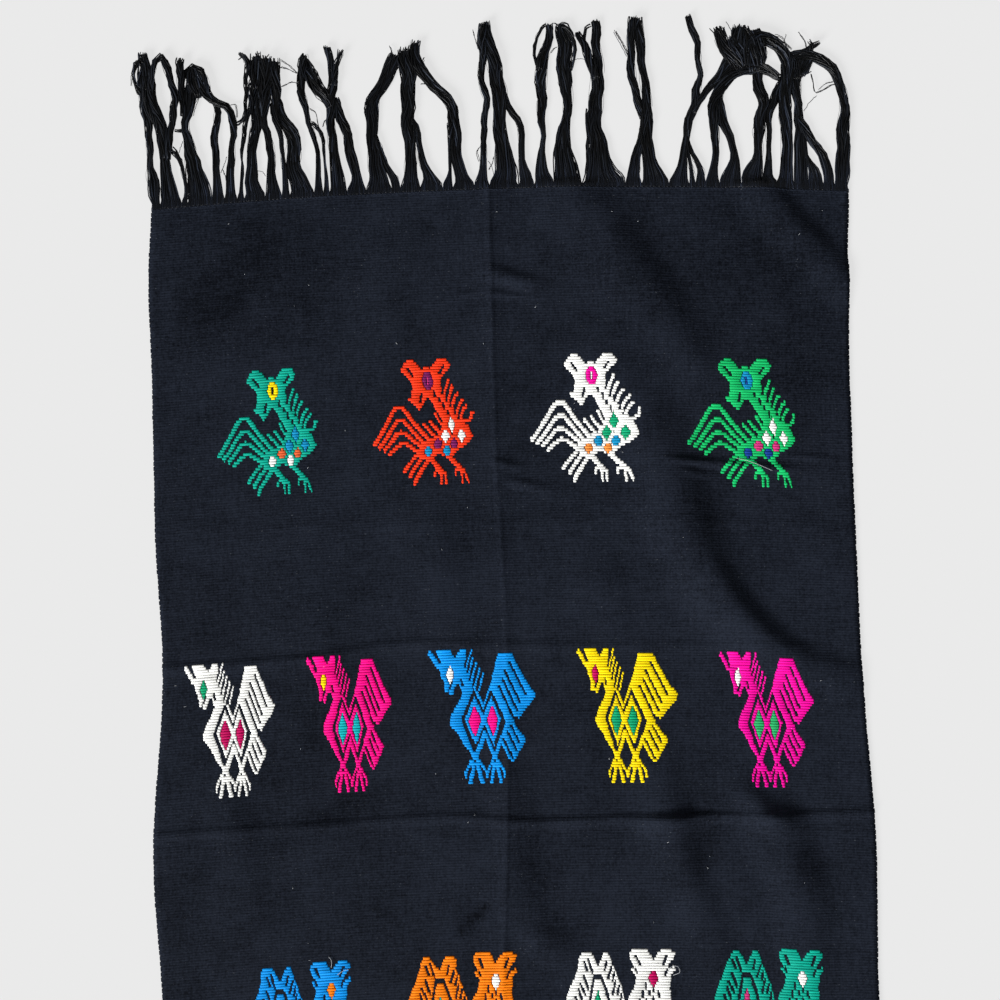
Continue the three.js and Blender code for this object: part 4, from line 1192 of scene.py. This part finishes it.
def strand_yarns(strand, rope_width, step, rng):
    """The yarns and the body of one strand, each as (lines, radii, flatness, shade) with lines as
    (line, station, xyz) in the head's frame: across, reach, height."""
    rooted = "root" in strand
    line = smooth_line([(across, reach, width) for reach, across, width in strand["bends"]], 200)
    length = np.hypot(*np.diff(line[:, :2], axis=0).T).sum()
    widths = [width for reach, _, width in strand["bends"][2 if rooted else 0:]]
    ropes = max(1, int(round((max(widths) + np.median(widths)) / 2 / rope_width)))
    count = ropes * ROPE_YARNS
    kind = END_KINDS[strand["end"]]
    knots = np.linspace(0, 1, len(line))
    heading = np.gradient(line[:, :2], axis=0)
    heading /= np.linalg.norm(heading, axis=1, keepdims=True)

    def at(t, values):
        return np.interp(t, knots, values)

    def placed(t, off, forward=0.0):
        side_x, side_y = at(t, heading[:, 1]), -at(t, heading[:, 0])
        x = at(t, line[:, 0]) + side_x * off + side_y * forward
        y = at(t, line[:, 1]) + side_y * off - side_x * forward
        return x, y

    sway_step, sway_start = rng.uniform(0.22, 0.42), rng.uniform(0, FULL_TURN)

    def swayed(distance):
        return 0.5 * np.sin(distance * sway_step + sway_start) * eased(distance, 6, 18)

    # the yarns, wound in ropes that lie side by side and partly over each other
    rope = np.repeat(np.arange(ropes), ROPE_YARNS)[:, None]
    ends = rng.beta(1.3, 4, (count, 1)) * kind["shorter"]
    distance = stations(length, rooted, step)[None] * (1 - ends)
    t = distance / length
    width = np.maximum(at(t, line[:, 2]), 1)

    def wave(least, most):
        """A slow wave along each rope, the same for all its yarns."""
        return np.sin(t * rng.uniform(least, most, ropes)[rope] + rng.uniform(0, FULL_TURN, ropes)[rope])

    rope_radius = np.maximum(width / ropes * ROPE_FULLNESS, LEAST_ROPE) * (1 + 0.12 * wave(6, 16))
    spread = ((rope + 0.5) / ropes * 2 - 1) * (ropes / max(ropes - 1, 1))
    rope_off = np.clip(spread + 0.2 * wave(3, 9), -1, 1) * np.maximum(width / 2 - rope_radius, 0.15)
    pile = np.clip(ropes * 2 * rope_radius / width - 1, 0, 1.2)
    rope_up = rope_radius * ROPE_SQUASH * (1 + pile * (1 + wave(2, 7)) / 2)
    in_rope = (np.arange(count) % ROPE_YARNS)[:, None]
    turn = rng.uniform(0, FULL_TURN, (count, 1)) * 0.15 + 2 * np.pi * in_rope / ROPE_YARNS
    turn = turn + distance / TWIST_LENGTH * 2 * np.pi * rng.choice((-1, 1), ropes)[rope]
    reach_out = rng.uniform(0.66, 0.95, (count, 1))
    fray = eased(distance, length * 0.985 - 4, length) * kind["fray"]
    loose = rng.normal(0, 1, (count, 1)) * rng.choice((0.4, 0.4, 1.6), (count, 1))
    off = rope_off + rope_radius * reach_out * np.cos(turn) + fray * loose + swayed(distance)
    up = rope_up + rope_radius * ROPE_SQUASH * reach_out * np.sin(turn)
    up = np.maximum(up, YARN_RADIUS) + strand["lift"] * eased(t, *LIFT_OVER)
    up = up + fray * rng.uniform(-0.6, 1.6, (count, 1))
    hook = fray**2 * rng.choice(kind["hooks"], (count, 1))
    rank = (np.arange(count)[:, None] + 0.5) / count
    if rooted:
        # near the cloth they lie apart, fanned out over the strand's width, before they gather
        gathered = eased(distance, *FAN)
        jitter = 0.04 * np.sin(t * rng.uniform(9, 20, (count, 1)) + rng.uniform(0, FULL_TURN, (count, 1)))
        fanned = (rank - 0.5 + jitter) * np.maximum(width - 2 * YARN_RADIUS, 1)
        bed = 1.15 + rng.uniform(-0.2, 0.6, (count, 1)) * eased(distance, 4, 12)
        off = fanned + (off - fanned) * gathered
        up = bed + (up - bed) * gathered
    x, y = placed(t, off, hook)
    if rooted:
        middle, span = strand["root"]
        x, y, up = root_blend(x, y, up, distance, middle + (rank - 0.5) * span, middle, 0.05)
    thinner = 1 - 0.35 * eased(distance, length - 3, length)
    radius = YARN_RADIUS * rng.uniform(0.8, 1.2, (count, 1)) * thinner
    up = np.maximum(up, radius * 0.9)
    # random tone, with painted highlights on the lighter, bluer yarns
    shade = yarn_tones_and_painted_highlights(count, rng)[:, None]
    if rooted:
        fresh = linear(ROOT_BLACK) / linear(WARP_BLACK)
        near = (1 - eased(distance, 3, 20))[..., None]
        shade = shade * (1 - near) + fresh * (0.7 + 0.3 * shade) * near
    yarns = (np.stack([x, y, up], axis=-1), radius, np.ones(radius.shape), shade)

    # the body: the imported yarns inside, ending a little short of the others, their colour painted darker
    # as painted shade between the ropes
    distance = stations(length, rooted, step)[None] * (1 - kind["body"] / length)
    t = distance / length
    width = np.maximum(at(t, line[:, 2]), 1)
    half = np.maximum(width * 0.46 - 0.4, 0.3) * (1 + 0.05 * np.sin(distance * 0.9 + rng.uniform(0, 6)))
    half = half * (1 - 0.5 * eased(distance, distance.max() - 2, distance.max()))
    rope_radius = np.maximum(width / ropes * ROPE_FULLNESS, LEAST_ROPE)
    thick = np.clip(np.minimum(half, rope_radius * ROPE_SQUASH * 0.6), 0.3, 1.1)
    up = thick + 0.1 + strand["lift"] * eased(t, *LIFT_OVER)
    x, y = placed(t, swayed(distance))
    # painted shade: the body's colour darkened for the shade between the ropes
    shade = np.full((1, 1, 3), BODY_PAINTED_SHADE)
    if rooted:
        band = 1 - eased(distance, ROOT_INSIDE - 0.4, ROOT_INSIDE + ROOT_BAND + 1.6)
        half = half + (width / 2 + 0.2 - half) * band
        thick = 0.5 + (thick - 0.5) * eased(distance, *FAN)
        up = 0.55 + (up - 0.55) * eased(distance, *FAN)
        x, y, up = root_blend(x, y, up, distance, np.array([[middle]]), middle, -0.7)
        shade = shade + (0.75 * fresh - shade) * (1 - eased(distance, 2, 14))[..., None]
    body = (np.stack([x, y, up], axis=-1), half, thick / half, shade)
    return yarns, body


def root_blend(x, y, up, distance, root_x, middle, over):
    """Moves the inner ends of a strand's lines to their own places inside the cloth's end."""
    free = eased(distance, ROOT_INSIDE, ROOT_INSIDE + ROOT_BAND + 2.6)
    x = root_x + (x - root_x) * free
    y = y + (bow(root_x) - bow(middle)) * (1 - free)
    level = THICKNESS + rise(root_x, 1) + over
    return x, y, level + (up - level) * eased(distance, ROOT_INSIDE - 0.4, ROOT_INSIDE + 5)


def stray_yarns(bends, count, rng):
    """A few thin threads along one line, a little apart."""
    line = smooth_line([(across, reach) for reach, across in bends], 14)
    off = rng.normal(0, 0.4, (count, 1, 2)) + rng.normal(0, 0.1, (count, 14, 2))
    flat = line[None] + off
    height = 0.4 + rng.uniform(0.4, 2, (count, 1)) * np.sin(np.linspace(0.3, 2.9, 14))
    return hair(np.concatenate([flat, height[..., None]], axis=-1), 0.2, rng)


def flyaways(strand, rng):
    """Short fine ends that stand off a strand's side."""
    places = [(across, reach, width) for reach, across, width in strand["bends"]]
    line = smooth_line(places, 60)
    lots = []
    for i in rng.integers(8, 50, rng.integers(2, 6)):
        last = min(i + rng.integers(6, 16), 59)
        stretch = line[np.linspace(i, last, 7).astype(int)]
        side = rng.choice((-1, 1))
        off = side * (stretch[:, 2] / 2 + np.sin(np.linspace(0, 3.1, 7)) * rng.uniform(0.2, 1) - 0.4)
        height = np.full(7, rng.uniform(0.5, 2))
        lots.append(np.stack([stretch[:, 0] + off, stretch[:, 1], height], axis=1))
    return hair(np.array(lots), 0.1, rng)


def hair(paths, radius, rng):
    """Single thin yarns, as the fringe takes them."""
    radii = np.full(paths.shape[:2], radius)
    return paths, radii, np.ones(radii.shape), yarn_tones_and_painted_highlights(len(paths), rng)[:, None]


def yarn_tones_and_painted_highlights(count, rng):
    """How light each yarn is: most near black with a random tone, some a little bluer and lighter as
    painted highlights for the sheen along the yarns.
    """
    shade = rng.gamma(4, 1 / 4, (count, 1)) * rng.choice((0.3, 0.6, 1, 2, 4.6), (count, 1))
    return shade * (rng.uniform(0, 1, (count, 1)) * (0, 0.06, 0.28) + 1)


def make_fringe(name, node, strands, strays, to_frame, rope_width, step, seed):
    """A fringe of many yarns; to_frame moves points from the head's frame to the part's. A strand
    has a rope for each rope_width of it, and a yarn has a point for each step along its middle."""
    rng = np.random.default_rng(seed)
    lots = []
    for strand in with_roots(strands):
        yarns, body = strand_yarns(strand, rope_width, step, rng)
        lots += [(YARN_SIDES, yarns), (BODY_SIDES, body), (3, flyaways(strand, rng))]
    lots += [(3, stray_yarns(stray["bends"], stray["ends"], rng)) for stray in strays]
    points, walls, caps, colours, base = [], [], {3: [], BODY_SIDES: []}, [], 0
    for sides, (paths, radii, flatness, shade) in lots:
        lot, (wall, cap) = tubes(to_frame(paths), radii, sides, flatness)
        points.append(lot)
        walls.append(wall + base)
        caps[sides].append(cap + base)
        shade = np.broadcast_to(shade, paths.shape).repeat(sides, axis=1)
        colours.append((linear(WARP_BLACK) * shade).reshape(-1, 3))
        base += len(lot)
    faces = [np.concatenate(walls)] + [np.concatenate(lot) for lot in caps.values()]
    piece = new_piece(name, np.concatenate(points), faces, warp_yarn)
    paint(piece, np.concatenate(colours))
    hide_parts(node)
    return piece


def head_frame(paths):
    return paths + (0, HEAD_LINE, 0)


def foot_frame(paths):
    return paths * (1, -1, 1) + (0, FOOT_LINE, 0)


FAR = {"bundles": 34, "waist_reach": 20, "waist": 5, "tip_reach": 82, "tip": 4.4, "sway": 3, "spread": 5}


def foot_strands():
    """The plain even strands of the far fringe."""
    pitch = 2 * HALF_WIDTH / FAR["bundles"]
    rows = []
    for i in range(FAR["bundles"]):
        across = (i + 0.5) * pitch - HALF_WIDTH
        sway = FAR["sway"] * math.sin(2.4 * i)
        drop = -float(bow(across))
        reach = FAR["tip_reach"] + FAR["spread"] * math.sin(1.7 * i + 1) + drop
        rows.append(("blunt", 0.5 * (i % 2), (
            (0, across, pitch - 1),
            (FAR["waist_reach"] + drop, across + sway / 4, FAR["waist"]),
            (0.6 * reach, across + 0.7 * sway, FAR["waist"] + 1.2 * math.sin(3.1 * i)),
            (reach, across + sway, FAR["tip"]),
        )))
    return table("end lift bends", *rows)


# ---------------------------------------------------------------- flecks and loose threads

LINT_BITS = 46
LINT_RADIUS = 0.13
LINT_UP = 0.15                      # over the cloth
THREAD_RADIUS = 0.15
LINT = (176, 180, 184)
# each runs through points of (across, from the head edge, height over the cloth)
LOOSE_THREADS = (
    ((125, 151, 0.5), (130, 152, 1.0), (137, 154.6, 1.1), (144, 157.4, 0.5)),
    ((-100.5, 410.5, 0.4), (-99.4, 411.6, 0.9), (-99, 414, 1.1), (-99.3, 416, 0.5)),
    ((-96, 420, 0.5), (-93.4, 418.2, 1.1), (-90, 417.5, 0.5)),
    ((77.8, 425, 0.5), (80, 421, 1.1), (83.5, 420.8, 1.3), (84.5, 423.5, 1.1), (81, 425.5, 0.5)),
)


def make_flecks():
    """Bits of pale lint, and the loose pale threads at a few figures."""
    rng = np.random.default_rng(21)
    across = rng.uniform(-180, 180, (LINT_BITS, 1))
    from_head = rng.uniform(8, SHOWN, (LINT_BITS, 1))
    turn = rng.uniform(0, np.pi, (LINT_BITS, 1))
    reach = rng.uniform(0.2, 0.7, (LINT_BITS, 1)) * np.linspace(-1, 1, 4)
    path = on_cloth(across + reach * np.cos(turn), from_head + reach * np.sin(turn), LINT_UP)
    lots = [tubes(path, np.full(path.shape[:2], LINT_RADIUS), 4)]
    for bends in LOOSE_THREADS:
        path = on_cloth(*smooth_line(bends, 16).T)[None]
        lots.append(tubes(path, np.full(path.shape[:2], THREAD_RADIUS), 4))
    points, faces = joined(lots)
    piece = new_piece("pale_lint", points, faces, floss)
    paint(piece, np.broadcast_to(linear(LINT), (len(points), 3)))
    return piece


# ---------------------------------------------------------------- camera, light and floor

CAMERA_AIM = (-3.478, 592.246, 0)
CAMERA_TILT = 0.072466              # radians from straight above, towards the foot
CAMERA_ROLL = -0.027380             # radians
CAMERA_DISTANCE = 800
CAMERA_LENS = 53.21
KEY_FROM = (-0.62, -0.78)           # the key light stands to the left and nearer the foot
KEY_HEIGHT = 28                     # degrees above the surface
KEY_SHARE = 0.76                    # of the light on a flat surface; the rest is the sky's
KEY_SOFTNESS = 24                   # degrees
SENSOR_WIDTH = 36
FLOOR = (234, 234, 234)
FLOOR_GLOW = 0.86
FLOOR_HALF = 4000
FLOOR_BELOW = 0.6                   # under the runner's own zero, so that they never share a face


def make_camera():
    """Nearly straight above the head half, tilted a little towards the foot and rolled a little."""
    sine, cosine = math.sin(CAMERA_TILT), math.cos(CAMERA_TILT)
    back = Vector((0, -sine, cosine))
    level_right, level_up = Vector((1, 0, 0)), Vector((0, cosine, sine))
    right = level_right * math.cos(CAMERA_ROLL) + level_up * math.sin(CAMERA_ROLL)
    up = level_up * math.cos(CAMERA_ROLL) - level_right * math.sin(CAMERA_ROLL)
    camera = bpy.data.objects.new("camera", bpy.data.cameras.new("camera"))
    camera.data.lens = CAMERA_LENS
    camera.data.sensor_width = SENSOR_WIDTH
    turn = Matrix((right, up, back)).transposed().to_4x4()
    camera.matrix_world = Matrix.Translation((Vector(CAMERA_AIM) + back * CAMERA_DISTANCE) * MM) @ turn
    bpy.context.scene.collection.objects.link(camera)
    bpy.context.scene.camera = camera


def make_light():
    """A low sun as the key, and an even sky for the rest. Past the floor the camera sees the floor's pale
    colour, which lights nothing."""
    key = bpy.data.lights.new("key", "SUN")
    key.angle = math.radians(KEY_SOFTNESS)
    height = math.radians(KEY_HEIGHT)
    key.energy = KEY_SHARE * math.pi / math.sin(height)
    lamp = bpy.data.objects.new("key", key)
    towards = Vector((*(Vector(KEY_FROM).normalized() * math.cos(height)), math.sin(height)))
    lamp.rotation_mode = "QUATERNION"
    lamp.rotation_quaternion = towards.to_track_quat("Z", "Y")
    bpy.context.scene.collection.objects.link(lamp)
    world = bpy.data.worlds.new("sky")
    world.use_nodes = True
    tree = world.node_tree
    background = tree.nodes["Background"]
    background.inputs["Color"].default_value = (1, 1, 1, 1)
    sky_share = 1 - KEY_SHARE
    seen = Socket(tree.nodes.new("ShaderNodeLightPath").outputs["Is Camera Ray"])
    feed(background.inputs["Strength"], seen * (float(linear(FLOOR[0])) - sky_share) + sky_share)
    bpy.context.scene.world = world


def make_floor():
    """A pale floor; what the camera sees of it is mostly its own colour, so that shadows stay faint."""
    finish = Finish("pale_floor", Roughness=1, Specular_IOR_Level=0, Base_Color=rgba(FLOOR))
    tree = finish.tree
    glow = tree.nodes.new("ShaderNodeEmission")
    glow.inputs["Color"].default_value = rgba(FLOOR)
    seen = finish.node("ShaderNodeLightPath").out("Is Camera Ray") * FLOOR_GLOW
    blend = tree.nodes.new("ShaderNodeMixShader")
    tree.links.new(seen.socket, blend.inputs["Fac"])
    tree.links.new(finish.shader.outputs["BSDF"], blend.inputs[1])
    tree.links.new(glow.outputs["Emission"], blend.inputs[2])
    tree.links.new(blend.outputs["Shader"], tree.nodes["Material Output"].inputs["Surface"])
    signs = ((-1, -1), (1, -1), (1, 1), (-1, 1))
    corners = [(x * FLOOR_HALF, y * FLOOR_HALF, -FLOOR_BELOW) for x, y in signs]
    mesh = bpy.data.meshes.new("floor")
    mesh.from_pydata([Vector(corner) * MM for corner in corners], [], [(0, 1, 2, 3)])
    mesh.materials.append(finish.material)
    floor = bpy.data.objects.new("floor", mesh)
    bpy.context.scene.collection.objects.link(floor)


# ---------------------------------------------------------------- assembly

bpy.context.scene.view_settings.view_transform = "Standard"
make_camera()
make_light()
make_floor()
cloth = make_cloth()
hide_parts("cloth")
on_it = [make_selvedge_turns(), make_heading_twists(), make_flecks()]
on_it += [make_figures(number, kind, row) for number, kind, row in figure_rows()]
on_it.append(make_fringe("head_fringe", "fringe_head", STRANDS, STRAYS, head_frame,
                         rope_width=2.1, step=4.3, seed=31))
on_it.append(make_fringe("foot_fringe", "fringe_foot", foot_strands(), [], foot_frame,
                         rope_width=3.4, step=9, seed=32))
